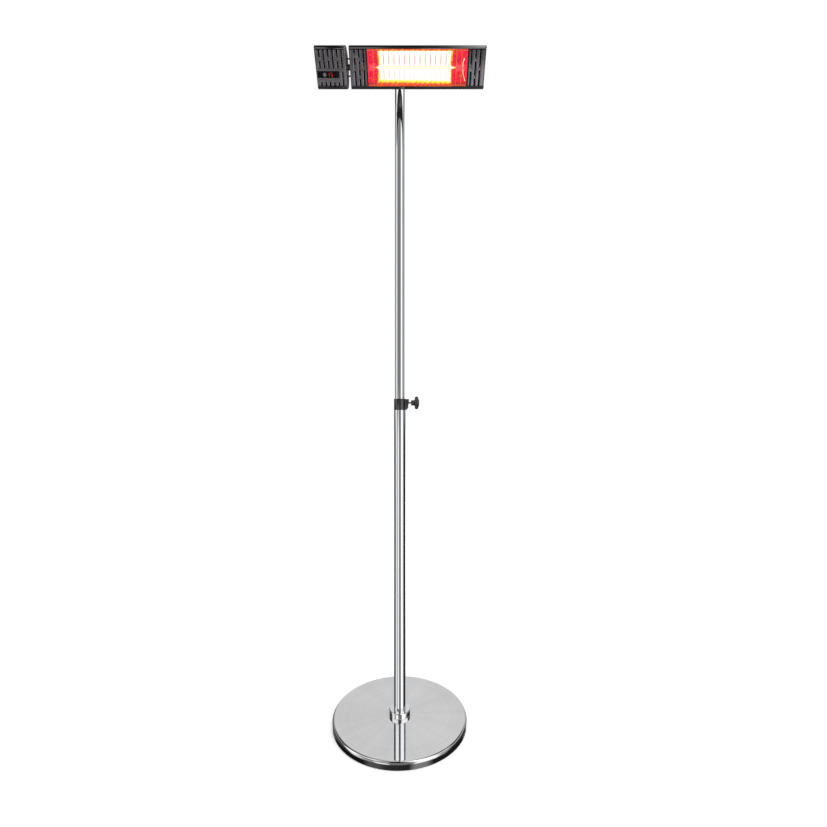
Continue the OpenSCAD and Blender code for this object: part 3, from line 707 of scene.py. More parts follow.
SLOTS = {part["node"]: part["material_slot"] for part in frame["record"]["subparts"]}
BODIES = {node: obj["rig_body"] for node, obj in frame["nodes"].items()}
done = set()


def detail(node, mesh, place=ROW, look=None):
    """A detailed mesh that stands for one CAD node and takes that node's body and material slot."""
    slot_name = SLOTS[node]
    done.add(node)
    piece(node + "_detail", mesh, BODIES[node], look or LOOKS[slot_name], node, place)


# ---------------------------------------------------------------- fasteners and knobs

def hexagon_ring(across, z, sides=36):
    """A hexagon by its distance across flats, with as many points as a circle ring."""
    ring = []
    for i in range(sides):
        angle = TURN * i / sides
        offset = (angle + math.pi / 6) % (math.pi / 3) - math.pi / 6
        radius = across / 2 / math.cos(offset)
        ring.append((radius * math.cos(angle), radius * math.sin(angle), z))
    return ring


def socket_screw(bm, radius, height, across, shank_r, shank_l):
    """A button-head screw standing on z = 0 with a hexagon socket, and its shank below."""
    ring_surface(bm, [
        circle_ring(shank_r * 0.7, -shank_l),
        circle_ring(shank_r, -shank_l + 0.3 * shank_r),
        circle_ring(shank_r, 0),
        circle_ring(radius, 0),
        circle_ring(radius, 0.3 * height),
        circle_ring(0.95 * radius, 0.62 * height),
        circle_ring(0.84 * radius, 0.86 * height),
        circle_ring(0.68 * radius, height),
        hexagon_ring(across * 1.06, height),
        hexagon_ring(across, height - 0.1 * MM),
        hexagon_ring(across, 0.3 * height),
    ])


def nut(bm, across, height, bore):
    """A hexagon nut standing on z = 0, with turned-off corners and a chamfered bore."""
    edge = 0.14 * across * 0.5
    rings = [
        circle_ring(bore, 0.3 * MM),
        circle_ring(bore + 0.3 * MM, 0),
        circle_ring(across * 0.49, 0),
        hexagon_ring(across, edge),
        hexagon_ring(across, height - edge),
        circle_ring(across * 0.49, height),
        circle_ring(bore + 0.3 * MM, height),
        circle_ring(bore, height - 0.3 * MM),
    ]
    ring_surface(bm, rings + [rings[0]], close_ends=False)


def bolt_head(bm, across, height):
    """A hexagon head standing on z = 0, with turned-off corners and a slightly dished top."""
    edge = 0.14 * across * 0.5
    ring_surface(bm, [
        circle_ring(across * 0.47, 0),
        hexagon_ring(across, 0.2 * MM),
        hexagon_ring(across, height - edge),
        circle_ring(across * 0.49, height),
        circle_ring(across * 0.36, height),
        circle_ring(across * 0.33, height - 0.25 * MM),
    ])


def at_places(name, build, places, smooth_angle=35):
    """One mesh of the same build at several matrices."""
    bm = bmesh.new()
    for matrix in places:
        one = bmesh.new()
        build(one)
        one.transform(matrix)
        mesh = bpy.data.meshes.new("part")
        one.to_mesh(mesh)
        one.free()
        bm.from_mesh(mesh)
        bpy.data.meshes.remove(mesh)
    return finish_mesh(bm, name, smooth_angle)


def knob_mesh(name, hub_l, hub_r, grip_r, grip_t, bore_r, sides=128):
    """A moulded knob along z: a round hub, a hollowed flare and a thick crowned grip with four soft lobes."""
    def lobes(i):
        swing = (1 + math.cos(4 * TURN * i / sides)) / 2
        return grip_r * (0.8 + 0.2 * swing ** 0.7)

    def ring(z, circle_r, share=0.0, inset=0.0, scale=1.0):
        """A ring that is a circle at share 0 and the lobed outline at share 1."""
        points = []
        for i in range(sides):
            radius = ((1 - share) * circle_r + share * lobes(i) - inset) * scale
            points.append((radius * math.cos(TURN * i / sides), radius * math.sin(TURN * i / sides), z))
        return points

    top = hub_l + grip_t
    drop = 0.14 * grip_r
    crown = (grip_r ** 2 + drop ** 2) / (2 * drop)
    edge = 0.32 * grip_t
    rings = [
        ring(0.6 * MM, bore_r),
        ring(0, bore_r + 0.6 * MM),
        ring(0, hub_r - 0.8 * MM),
        ring(0.25 * MM, hub_r - 0.25 * MM),
        ring(0.8 * MM, hub_r),
        ring(hub_l - 0.12 * grip_r, hub_r),
        ring(hub_l - 0.06 * grip_r, hub_r, 0.04),
        ring(hub_l - 0.01 * grip_r, hub_r, 0.14),
        ring(hub_l + 0.02 * grip_r, hub_r, 0.32),
        ring(hub_l + 0.03 * grip_r, hub_r, 0.6),
    ]
    for k in range(7):
        angle = math.radians(15 * k)
        height = hub_l + 0.035 * grip_r + edge * (1 - math.cos(angle))
        rings.append(ring(height, 0, 1, edge * (1 - math.sin(angle))))
    for k in range(6):
        angle = math.radians(15 * k)
        height = top - drop - edge + edge * math.sin(angle)
        rings.append(ring(height, 0, 1, edge * (1 - math.cos(angle))))
    for scale in (0.7, 0.5, 0.3, 0.12):
        height = top - crown + math.sqrt(crown ** 2 - (scale * grip_r) ** 2)
        rings.append(ring(height, 0, scale, 0, scale) if scale > 0.5 else ring(height, scale * grip_r))
    return ring_mesh(name, rings, 50)


def ring_of(low, high, bore, edge, outer):
    """A closed profile of a ring with small chamfers, from a low to a high end."""
    return [
        (bore, low + edge), (bore + edge, low), (outer - edge, low), (outer, low + edge),
        (outer, high - edge), (outer - edge, high), (bore + edge, high), (bore, high - edge),
    ]


def tube_of(node, bore, edge, sides=128):
    """A straight ring or tube on the pole's axis in place of a CAD node, with its edges broken."""
    low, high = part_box(node)
    profile = ring_of(low.z, high.z, bore, edge, high.x)
    detail(node, lathe_mesh(node + "_turned", profile, sides, closed=True))


# ---------------------------------------------------------------- stand

low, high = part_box("base_cover")
R, TOP, SHEET, EDGE = high.x, high.z, 1.5 * MM, 8 * MM
BOLT_HOLE = 6.5 * MM
cover = [(BOLT_HOLE, TOP - SHEET)]
# two rings across the flat keep its faces small
cover += [(r, TOP - SHEET) for r in (80 * MM, 160 * MM, R - EDGE - 2 * MM)]
cover += arc((R - EDGE, TOP - EDGE), EDGE - SHEET, 90, 0, 10)
cover += [(R - SHEET, low.z + 0.5 * MM), (R - 0.75 * MM, low.z), (R, low.z + 0.6 * MM)]
cover += arc((R - EDGE, TOP - EDGE), EDGE, 0, 90, 14)
cover += [(r, TOP) for r in (R - EDGE - 3 * MM, 160 * MM, 80 * MM, BOLT_HOLE)]
detail("base_cover", lathe_mesh("cover", cover, 256, closed=True, smooth_angle=30))

low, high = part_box("base_mat")
ribs = [(2 * MM, 0.6 * MM)]
for k in range(1, 9):
    r = k * 26 * MM
    ribs += [(r - 4 * MM, 0.6 * MM), (r - 3 * MM, 0), (r + 3 * MM, 0), (r + 4 * MM, 0.6 * MM)]
ribs += [(high.x - 8 * MM, 0.6 * MM), (high.x - 7 * MM, 0), (high.x - 0.8 * MM, 0), (high.x, 0.8 * MM)]
ribs += [(high.x, high.z - 0.8 * MM), (high.x - 0.8 * MM, high.z), (2 * MM, high.z)]
detail("base_mat", lathe_mesh("mat", ribs, 160))

low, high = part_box("base_collar")
edge = 4 * MM
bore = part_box("lower_tube")[1].x + 0.05 * MM
collar = [(bore, low.z + 0.3 * MM), (bore + 0.3 * MM, low.z)]
collar += [(high.x - 0.4 * MM, low.z), (high.x, low.z + 0.4 * MM)]
collar += arc((high.x - edge, high.z - edge), edge, 0, 90, 16)
collar += [(bore + 0.5 * MM, high.z), (bore, high.z - 0.5 * MM)]
detail("base_collar", lathe_mesh("collar", collar, 160, closed=True))

wall = 1.2 * MM
tube_of("lower_tube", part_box("lower_tube")[1].x - wall, 0.3 * MM, sides=160)
tube_of("upper_tube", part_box("upper_tube")[1].x - wall, 0.3 * MM, sides=160)
tube_of("guide_bush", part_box("upper_tube")[1].x + 0.05 * MM, 0.5 * MM)
tube_of("stop_ring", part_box("upper_tube")[1].x, 0.3 * MM)

low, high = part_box("mast_cap")
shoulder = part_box("upper_tube")[1].z
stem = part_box("upper_tube")[1].x - wall - 0.1 * MM
cap = [(1 * MM, low.z), (stem - 0.8 * MM, low.z), (stem, low.z + 0.8 * MM), (stem, shoulder)]
cap += [(high.x - 0.3 * MM, shoulder), (high.x, shoulder + 0.3 * MM)]
cap += arc((high.x - 2 * MM, high.z - 2 * MM), 2 * MM, 0, 90, 8)
cap += [(8 * MM, high.z), (7.4 * MM, high.z - 0.5 * MM), (1 * MM, high.z - 0.5 * MM)]
detail("mast_cap", lathe_mesh("cap", cap, 96))

low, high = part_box("base_bolt")
HEAD_T = 7.5 * MM
under_head = at(0, 0, low.z + HEAD_T)
head_mesh = at_places("bolt_head", lambda b: bolt_head(b, 18 * MM, HEAD_T),
                      [under_head @ Matrix.Rotation(math.pi, 4, "X")])
rod_mesh = at_places("bolt_rod", lambda b: threaded_rod(
    b, 6 * MM, high.z - low.z - 8 * MM, 1.75 * MM, 0.6 * MM), [under_head])
detail("base_bolt", joined("base_bolt", [head_mesh, rod_mesh]))

# ---------------------------------------------------------------- clamp

low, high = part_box("clamp_screw")
axis = Vector((low.x, 0, (low.z + high.z) / 2))
bm = bmesh.new()
threaded_rod(bm, high.z - axis.z, high.x - low.x, 1.0 * MM, 0.35 * MM)
detail("clamp_screw", finish_mesh(bm, "clamp_thread", 60), Matrix.Translation(axis) @ AXIS_X)

low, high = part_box("clamp_pad")
pad_r = high.z - axis.z
pad_t = high.x - low.x
pad = [(0.5 * MM, 0), (pad_r - 0.5 * MM, 0), (pad_r, 0.5 * MM), (pad_r, pad_t - 0.2 * MM), (0.5 * MM, pad_t)]
detail("clamp_pad", lathe_mesh("pad", pad, 48), at(low.x, 0, axis.z) @ AXIS_X)

low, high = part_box("clamp_insert")
insert_r = high.z - axis.z
insert = ring_of(0, high.x - low.x, 3.05 * MM, 0.4 * MM, insert_r)
detail("clamp_insert", lathe_mesh("insert", insert, 64, closed=True), at(low.x, 0, axis.z) @ AXIS_X)

low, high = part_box("clamp_knob")
detail("clamp_knob", knob_mesh("clamp_grip", 13 * MM, 9.6 * MM, high.z - axis.z, 16.5 * MM, 3 * MM),
       at(low.x, 0, axis.z) @ AXIS_X)

# ---------------------------------------------------------------- tilt joint

pivot = Vector(JOINTS["head_tilt"]["pos_m"])
low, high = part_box("tilt_knob")
detail("tilt_knob", knob_mesh("tilt_grip", 12.5 * MM, 8 * MM, high.z - pivot.z, 13 * MM, 4 * MM),
       at(low.x, pivot.y, pivot.z) @ AXIS_X)

low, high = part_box("tilt_bolt")
bm = bmesh.new()
threaded_rod(bm, 4 * MM, high.x - low.x, 1.25 * MM, 0.45 * MM)
detail("tilt_bolt", finish_mesh(bm, "tilt_thread", 60), at(low.x, pivot.y, pivot.z) @ AXIS_X)

low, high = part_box("tilt_nut")
detail("tilt_nut", at_places("tilt_nut_hex", lambda b: nut(b, 13 * MM, high.x - low.x, 4.05 * MM),
                             [at(low.x, pivot.y, pivot.z) @ AXIS_X]))

low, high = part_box("bracket_bolts")
nuts_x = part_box("bracket_nuts")[0].x
heights = [low.z + 5.7 * MM, high.z - 5.7 * MM]
heads = at_places("bracket_heads", lambda b: bolt_head(b, 9.9 * MM, 4 * MM), [
    at(low.x + 4 * MM, 0, z) @ AXIS_X @ Matrix.Rotation(math.pi, 4, "Y") for z in heights
])
shanks = at_places("bracket_shanks", lambda b: threaded_rod(b, 3 * MM, high.x - low.x - 3.5 * MM, 1 * MM), [
    at(low.x + 3.5 * MM, 0, z) @ AXIS_X for z in heights
])
detail("bracket_bolts", joined("bracket_bolts", [heads, shanks]))
detail("bracket_nuts", at_places("bracket_nut_hexes", lambda b: nut(b, 9.9 * MM, 5 * MM, 3.05 * MM), [
    at(nuts_x, 0, z) @ AXIS_X for z in heights
]))

low, high = head_box("friction_washers")
WASHER_T = 2.4 * MM
one = lathe_mesh("washer", ring_of(0, WASHER_T, 4.05 * MM, 0.3 * MM, 12 * MM), 64, closed=True)
two = one.copy()
turn = at(0, (low.y + high.y) / 2, (low.z + high.z) / 2) @ AXIS_X
detail("friction_washers", joined("washers", [
    placed(one, at(low.x, 0, 0) @ turn),
    placed(two, at(high.x - WASHER_T, 0, 0) @ turn),
]), HEAD)

# ---------------------------------------------------------------- screws of the head

# the casing's round back: the depth of its axis behind the face, and its radius
BACK_CENTRE = 25 * MM
BACK_R = 60 * MM
spots = []
for x in (-24 * MM, 24 * MM):
    for angle in (-15, 15):
        out = Matrix.Rotation(math.radians(angle), 4, "X") @ AXIS_Y
        spots.append(at(x, BACK_CENTRE, 0) @ out @ at(0, 0, BACK_R + 4.2 * MM))
detail("lug_screws", at_places("lug_heads", lambda b: socket_screw(
    b, 3.8 * MM, 2.4 * MM, 2.5 * MM, 2 * MM, 9 * MM), spots), HEAD)

low, high = head_box("end_screws")
spots = []
for y, z in ((14, 53.6), (14, -53.6), (64, 38.9), (64, -38.9)):
    left = at(low.x + 2.2 * MM, y * MM, z * MM) @ Matrix.Rotation(math.radians(-90), 4, "Y")
    right = at(high.x - 2.2 * MM, y * MM, z * MM) @ AXIS_X
    spots += [left, right]
detail("end_screws", at_places("end_heads", lambda b: socket_screw(
    b, 3 * MM, 2.2 * MM, 2.2 * MM, 1.45 * MM, 11.5 * MM), spots), HEAD)

# ---------------------------------------------------------------- front panels

def slot_outline(x, z0, z1, width):
    """A slot with round ends, from z0 up to z1."""
    r = width / 2
    return arc((x, z1 - r), r, 0, 180, 8) + arc((x, z0 + r), r, 180, 360, 8)


def panel_outlines(x0, x1, z0, z1, columns, width=5 * MM):
    """The outline of a panel, cut back where slots run off its edges, and its inner slots.

    A column is (x, [(from, to), ...]), with a slot for each pair of heights.
    """
    def notch(x, edge, end, down):
        """A slot's sides and round end, from the edge it is open to."""
        r = width / 2
        if down:
            return [(x - r, edge)] + arc((x, end + r), r, 180, 360, 8) + [(x + r, edge)]
        return [(x + r, edge)] + arc((x, end - r), r, 0, 180, 8) + [(x - r, edge)]

    outer = [(x0, z0)]
    holes = []
    tops, bottoms = [], []
    for x, slots in columns:
        for a, b in slots:
            if b >= z1:
                tops.append((x, a))
            elif a <= z0:
                bottoms.append((x, b))
            else:
                holes.append(slot_outline(x, a, b, width))
    for x, end in sorted(bottoms):
        outer += notch(x, z0, end, False)[::-1]
    outer += [(x1, z0), (x1, z1)]
    for x, end in sorted(tops, reverse=True):
        outer += notch(x, z1, end, True)[::-1]
    outer += [(x0, z1)]
    return [outer] + holes


PITCH = 14.7 * MM  # between columns of slots
SHEET_T = 2 * MM


def front_plate(name, outlines, y):
    """A front panel's sheet, with its face at y in the head's frame."""
    plate = plate_mesh(name, outlines, SHEET_T, 0.3 * MM)
    return placed(plate, at(0, y, 0) @ FACE_ON)


# each panel's columns of slots from its outer side inwards, as (from, to) heights in millimetres
side_columns = {
    "panel_left": (
        [(-51, -7), (6.5, 28), (38.5, 51)],
        [(-51, -28), (-21, 19), (27, 51)],
        [(-51, -4), (4, 51)],
    ),
    "panel_right": (
        [(-51, -5.5), (3.5, 51)],
        [(-51, -28), (-20, 18.5), (27, 51)],
        [(-51, -9), (9.5, 51)],
    ),
}
for node, columns in side_columns.items():
    low, high = head_box(node)
    right = node == "panel_right"
    glow = low.x if right else high.x
    first = high.x - 14.4 * MM if right else low.x + 14.4 * MM
    step = -PITCH if right else PITCH
    placed_columns = [
        (first + i * step, [(a * MM, b * MM) for a, b in slots]) for i, slots in enumerate(columns)
    ]
    plate = front_plate(node, panel_outlines(low.x, high.x, low.z, high.z, placed_columns), low.y)
    # the flange beside the opening is cut back behind to clear the reflector
    deep, shallow, reach = high.y, low.y + 7.5 * MM, 34 * MM
    web = [(low.y + 1 * MM, low.z), (low.y + 1 * MM, high.z), (shallow, high.z), (shallow, reach),
           (deep, reach), (deep, -reach), (shallow, -reach), (shallow, low.z)]
    flange = placed(plate_mesh(node + "_flange", [web], 1.5 * MM, 0.2 * MM), END_ON)
    flange.transform(at(glow if right else glow - 1.5 * MM, 0, 0))
    detail(node, united(node, plate, flange), HEAD)

low, high = head_box("box_front")
window_low, window_high = head_box("display_window")
first = head_box("box_end_left")[0].x + 14.5 * MM
whole = (-1.5 * MM, 51 * MM)
split = [(-1.5 * MM, 19.5 * MM), (27.5 * MM, 51 * MM)]
foot = (-51 * MM, -38 * MM)
columns = [(first + i * PITCH, (split if i % 2 == 0 else [whole]) + [foot]) for i in range(5)]
columns.append((first + 5 * PITCH, [whole, (-51 * MM, -9.5 * MM)]))
outlines = panel_outlines(low.x, high.x, low.z, high.z, columns)
gap = 0.2 * MM
cut = [(low.x, window_low.z - gap), (window_high.x + gap, window_low.z - gap),
       (window_high.x + gap, window_high.z + gap), (low.x, window_high.z + gap)]
outlines[0] = outlines[0] + cut[::-1]
detail("box_front", front_plate("box_front", outlines, low.y), HEAD)

button_low, button_high = head_box("power_button")
button_x, button_z = (button_low.x + button_high.x) / 2, (button_low.z + button_high.z) / 2
outline = rounded_rectangle(window_low.x, window_low.z, window_high.x, window_high.z, 1.2 * MM)
hole = arc((button_x, button_z), 5.98 * MM, 0, 350, 35)
window = plate_mesh("window", [outline, hole], window_high.y - window_low.y, 0.35 * MM, edge_steps=3)
detail("display_window", placed(window, at(0, window_low.y, 0) @ FACE_ON), HEAD)

radius = (button_high.z - button_low.z) / 2
button = [(0.3 * MM, 14 * MM), (1.6 * MM, 14 * MM), (2 * MM, 13.6 * MM), (2 * MM, 6 * MM)]
button += [(radius - 0.3 * MM, 6 * MM), (radius, 5.7 * MM)]
button += [(radius - 0.8 * MM + 0.8 * MM * math.cos(a), 0.8 * MM - 0.8 * MM * math.sin(a))
           for a in (0, 0.4, 0.8, 1.2, math.pi / 2)]
# a shallow dish in its face
button += [(radius * 0.7, 0.05 * MM), (radius * 0.45, 0.3 * MM), (radius * 0.2, 0.42 * MM)]
button += [(0.3 * MM, 0.45 * MM)]
back_on = at(button_x, button_low.y, button_z) @ AXIS_Y
detail("power_button", lathe_mesh("button", button[::-1], 64), HEAD @ back_on)


def digit_bars(low, high):
    """The lit strokes of the two digits, with mitred ends."""
    height = high.z - low.z
    stroke = 0.7 * MM
    width = 4.2 * MM
    second = high.x - width
    tip = 0.3 * MM

    def upright(x, z, h):
        return [(x, z + tip), (x + stroke / 2, z), (x + stroke, z + tip),
                (x + stroke, z + h - tip), (x + stroke / 2, z + h), (x, z + h - tip)]

    def level(x, z):
        end = x + width
        return [(x + tip, z), (end - tip, z), (end, z + stroke / 2),
                (end - tip, z + stroke), (x + tip, z + stroke), (x, z + stroke / 2)]

    half = height / 2
    one = [upright(low.x, low.z, half - 0.2 * MM), upright(low.x, low.z + half + 0.2 * MM, half - 0.2 * MM)]
    five = [level(second, low.z), level(second, low.z + half - stroke / 2), level(second, high.z - stroke),
            upright(second, low.z + half + 0.8 * MM, half - 1.9 * MM),
            upright(second + width - stroke, low.z + 1.1 * MM, half - 1.9 * MM)]
    return one + five


low, high = head_box("display_digits")
bars = [plate_mesh("bar", [outline], 0.25 * MM, 0.05 * MM, edge_steps=0) for outline in digit_bars(low, high)]
digits = placed(joined("digits", bars), at(0, low.y, 0) @ FACE_ON)
detail("display_digits", digits, HEAD)

# ---------------------------------------------------------------- reflector, lamp and guard

low, high = head_box("reflector")
HALF = high.z
DEEP, FRONT, SKIN = 47 * MM, 3 * MM, 1.2 * MM


def trough(z):
    """The depth of the reflector's inner face at a height."""
    return FRONT + DEEP * (1 - (z / HALF) ** 2)


steps, bays = 48, 36
bm = bmesh.new()
rings = []
for j in range(bays + 1):
    x = low.x + (high.x - low.x) * j / bays
    # shallow pressed flutes across the sheet
    ripple = 0.25 * MM * (1 - math.cos(TURN * j / 2)) / 2 if 0 < j < bays else 0
    inner = [(x, trough(HALF * (2 * i / steps - 1)) - ripple * (0 < i < steps), HALF * (2 * i / steps - 1))
             for i in range(steps + 1)]
    outer = [(x, y + SKIN, z) for _, y, z in inner[::-1]]
    rings.append(inner + outer)
ring_surface(bm, rings)
mesh = finish_mesh(bm, "trough", 50)
for face in mesh.polygons:
    face.material_index = int(face.center.y > trough(face.center.z) + SKIN / 2)
detail("reflector", mesh, HEAD, look=[LOOKS["glowing_reflector"], LOOKS["dull_metal"]])

low, high = head_box("reflector_ends")
outline = [(trough(HALF * (2 * i / 32 - 1)) + SKIN * 0.98, HALF * (2 * i / 32 - 1)) for i in range(33)]
outline += [(FRONT, HALF), (FRONT, -HALF)]
ends = []
for x in (low.x, high.x - SKIN):
    end = placed(plate_mesh("end", [outline], SKIN, 0.25 * MM), END_ON)
    end.transform(at(x, 0, 0))
    ends.append(end)
mesh = joined("trough_ends", ends)
for face in mesh.polygons:
    outside = min(face.center.x - low.x, high.x - face.center.x) < SKIN / 2
    face.material_index = int(outside)
detail("reflector_ends", mesh, HEAD, look=[LOOKS["glowing_end"], LOOKS["dull_metal"]])

low, high = head_box("lamp_tube")
LAMP_Y, LAMP_Z = (low.y + high.y) / 2, (low.z + high.z) / 2


def lamp_ring(x, r_y, r_z, sides=32):
    """An upright ellipse round the lamp's axis."""
    return [(x, LAMP_Y + r_y * math.cos(TURN * i / sides), LAMP_Z + r_z * math.sin(TURN * i / sides))
            for i in range(sides)]


# pinched flat towards its ends: (distance from the end, half thickness, half height) in millimetres
lamp_end = [(0, 0.9, 3.2), (0.6, 1.4, 3.9), (7, 1.5, 4), (9, 3, 4.4), (12, 4.6, 4.8), (16, 5, 5)]
rings = [lamp_ring(low.x + off * MM, r_y * MM, r_z * MM) for off, r_y, r_z in lamp_end]
rings += [lamp_ring(high.x - off * MM, r_y * MM, r_z * MM) for off, r_y, r_z in lamp_end[::-1]]
detail("lamp_tube", ring_mesh("quartz_tube", rings, 50), HEAD)

low, high = head_box("lamp_filament")
coil_r, coil_pitch, around = 1.45 * MM, 2.1 * MM, 12
count = int((high.x - low.x - 8 * MM) / coil_pitch * around)
points = [(low.x, LAMP_Y, LAMP_Z), (low.x + 3.5 * MM, LAMP_Y, LAMP_Z)]
for i in range(count + 1):
    x = low.x + 4 * MM + (high.x - low.x - 8 * MM) * i / count
    turn = TURN * i / around
    points.append((x, LAMP_Y + coil_r * math.cos(turn), LAMP_Z + coil_r * math.sin(turn)))
points += [(high.x - 3.5 * MM, LAMP_Y, LAMP_Z), (high.x, LAMP_Y, LAMP_Z)]
bm = bmesh.new()
wire(bm, points, 0.35 * MM, 6)
detail("lamp_filament", finish_mesh(bm, "coil", 60), HEAD)

low, high = head_box("guard_grille")
bm = bmesh.new()
middle = (low.x + high.x) / 2
rod_z = HALF - 3 * MM
bow = [(5.4, 0.5), (4.3, 0.2), (3.8, 3)]  # a wire's end: (depth, distance from the rod) in millimetres
for k in range(18):
    x = middle + (k - 8.5) * WIRE_PITCH
    points = [(x, depth * MM, inset * MM - rod_z) for depth, inset in bow]
    points += [(x, depth * MM, rod_z - inset * MM) for depth, inset in bow[::-1]]
    wire(bm, points, 1 * MM, 12)
for z in (-rod_z, rod_z):
    spans = (low.x, low.x + 1 * MM, high.x - 1 * MM, high.x)
    wire(bm, [(x, 4.6 * MM, z) for x in spans], 1.2 * MM, 12)
detail("guard_grille", finish_mesh(bm, "guard", 50), HEAD)

low, high = head_box("lamp_leads")
bm = bmesh.new()
start = Vector((high.x - 9.1 * MM, 17.5 * MM, 3 * MM))
for tip, sag in ((Vector((high.x - 5 * MM, 10 * MM, high.z - 0.9 * MM)), 2.5 * MM),
                 (Vector((high.x - 0.9 * MM, 10 * MM, low.z + 0.9 * MM)), -2 * MM)):
    first = start if tip.z > 0 else start - Vector((0, 0, 6 * MM))
    points = []
    for i in range(13):
        t = i / 12
        point = first.lerp(tip, t)
        point.x -= abs(sag) * math.sin(math.pi * t)
        points.append(point)
    wire(bm, points, 0.9 * MM, 10)
detail("lamp_leads", finish_mesh(bm, "leads", 50), HEAD)

# ---------------------------------------------------------------- link and gland

low, high = head_box("link_conduit")
duct_r, bore = 9 * MM, 6 * MM
length = high.x - low.x
ribs = [(bore, 0.3 * MM), (bore + 0.3 * MM, 0), (duct_r, 0)]
for k in range(5):
    z = (k + 0.5) * length / 5
    groove = [(0, -0.9), (0.8, -0.5), (0.8, 0.5), (0, 0.9)]
    ribs += [(duct_r - dip * MM, z + along * MM) for dip, along in groove]
ribs += [(duct_r, length), (bore + 0.3 * MM, length), (bore, length - 0.3 * MM)]
at_duct = at(low.x, (low.y + high.y) / 2, (low.z + high.z) / 2) @ AXIS_X
detail("link_conduit", lathe_mesh("conduit", ribs, 64, closed=True), HEAD @ at_duct)

low, high = head_box("link_studs")
stud_z = (low.z + 2.2 * MM, high.z - 2.2 * MM)
stud_y = (low.y + high.y) / 2
studs = at_places("studs", lambda b: threaded_rod(b, 2.2 * MM, high.x - low.x, 0.8 * MM, 0.3 * MM),
                  [at(low.x, stud_y, z) @ AXIS_X for z in stud_z], 60)
detail("link_studs", studs, HEAD)
low, high = head_box("link_nuts")
detail("link_nuts", at_places("stud_nuts", lambda b: nut(b, 6.8 * MM, 3.2 * MM, 2.25 * MM),
                              [at(x, stud_y, z) @ AXIS_X
                               for z in stud_z for x in (low.x, high.x - 3.2 * MM)]), HEAD)

low, high = head_box("cable_gland")
gland_x, gland_z = (low.x + high.x) / 2, (low.z + high.z) / 2
BACK = BACK_CENTRE + BACK_R


def gland(bm, sides=72):
    """The gland along z from the casing's back: thread, hexagon, ribbed dome nut and rubber seal."""
    def circles(*places):
        return [circle_ring(radius * MM, z * MM, sides) for radius, z in places]

    def ribbed(radius, z, depth):
        ring = []
        for i in range(sides):
            r = radius - depth if i % 6 in (0, 5) else radius
            ring.append((r * MM * math.cos(TURN * i / sides), r * MM * math.sin(TURN * i / sides), z * MM))
        return ring

    rings = circles((4.8, -12), (7.6, -12), (8, -11.6), (8, -1.4), (10, -1.3))
    rings += [hexagon_ring(20.78 * MM, z * MM, sides) for z in (-0.6, 5.2)]
    rings += circles((10, 6), (9.2, 6.2), (9.2, 6.8))
    rings += [ribbed(9.7, 7, 0.2), ribbed(10, 7.6, 0.6), ribbed(10, 13.6, 0.6), ribbed(9.7, 14.4, 0.3)]
    rings += circles((8.9, 15.8), (7.9, 17.4), (7, 18.4), (6.5, 19))
    rings += circles((6.1, 18.9), (5.9, 17.6), (5, 17.4), (4.8, 17))
    ring_surface(bm, rings + [rings[0]], close_ends=False)


out_back = at(gland_x, BACK, gland_z) @ AXIS_Y
detail("cable_gland", at_places("gland", gland, [out_back]), HEAD)
low, high = head_box("gland_nut")
detail("gland_nut", at_places("gland_hex", lambda b: nut(b, 19 * MM, high.y - low.y, 8 * MM),
                              [at(gland_x, low.y, gland_z) @ AXIS_Y]), HEAD)

# ---------------------------------------------------------------- pieces that only need rounder edges

ROUNDING = {
    "clamp_collar": 0.9, "tilt_bracket": 0.5, "tilt_lug": 0.7, "head_shell": 0.45, "box_shell": 0.45,
    "head_end_left": 0.6, "head_end_right": 0.6, "box_end_left": 0.6, "box_end_right": 0.6,
    "terminal_block": 0.5, "display_module": 0.6, "relay": 0.7, "lamp_holders": 0.8, "circuit_board": 0.15,
    "base_weight": 1.2, "base_plate": 0.4, "tube_foot": 0.6, "mast_end_plug": 0.6,
}
for node in sorted(set(frame["nodes"]) - done):
    # the lamp holders take lit_ceramic, their painted lamp light
    look = LOOKS["lit_ceramic"] if node == "lamp_holders" else None
    detail(node, softened(node, ROUNDING.get(node, 0.3) * MM), look=look)

# the ring and the tubes above the base mirror the studio, and not the base's own top
for obj in bpy.context.scene.objects:
    if obj.name.startswith("base_") and obj.name != "base_collar_detail":
        obj.visible_glossy = False

# ---------------------------------------------------------------- camera, floor and light

camera = bpy.data.objects.new("camera", bpy.data.cameras.new("camera"))
camera.location = (0.0495, -1.686, 1.1091)
camera.rotation_euler = (math.radians(90), 0, 0)
camera.data.sensor_width = 36
camera.data.lens = 20.32
camera.data.clip_start = 0.05
bpy.context.scene.collection.objects.link(camera)
bpy.context.scene.camera = camera
bpy.context.scene.view_settings.view_transform = "Standard"

floor_look = Look("floor")
x, y, _ = floor_look.axes(floor_look.place())
reach = floor_look.length(x, y)
floor_look.set(base_color=(0.9, 0.9, 0.9, 1), roughness=0.8, specular_ior_level=0.1)
floor_look.set(emission_color=(1, 1, 1, 1))
# painted light: the floor shines by emission, weaker near the base and full far off where it meets the
# backdrop
floor_look.into("Emission Strength", floor_look.between(reach, 0.2, 1.6, 0.4, 1.0, smooth=True))
bm = bmesh.new()
bmesh.ops.create_circle(bm, cap_ends=True, radius=30, segments=64)
floor = bpy.data.objects.new("floor", finish_mesh(bm, "floor"))
floor.data.materials.append(floor_look.material)
floor.location.z = -0.0005
floor.visible_glossy = False
bpy.context.scene.collection.objects.link(floor)

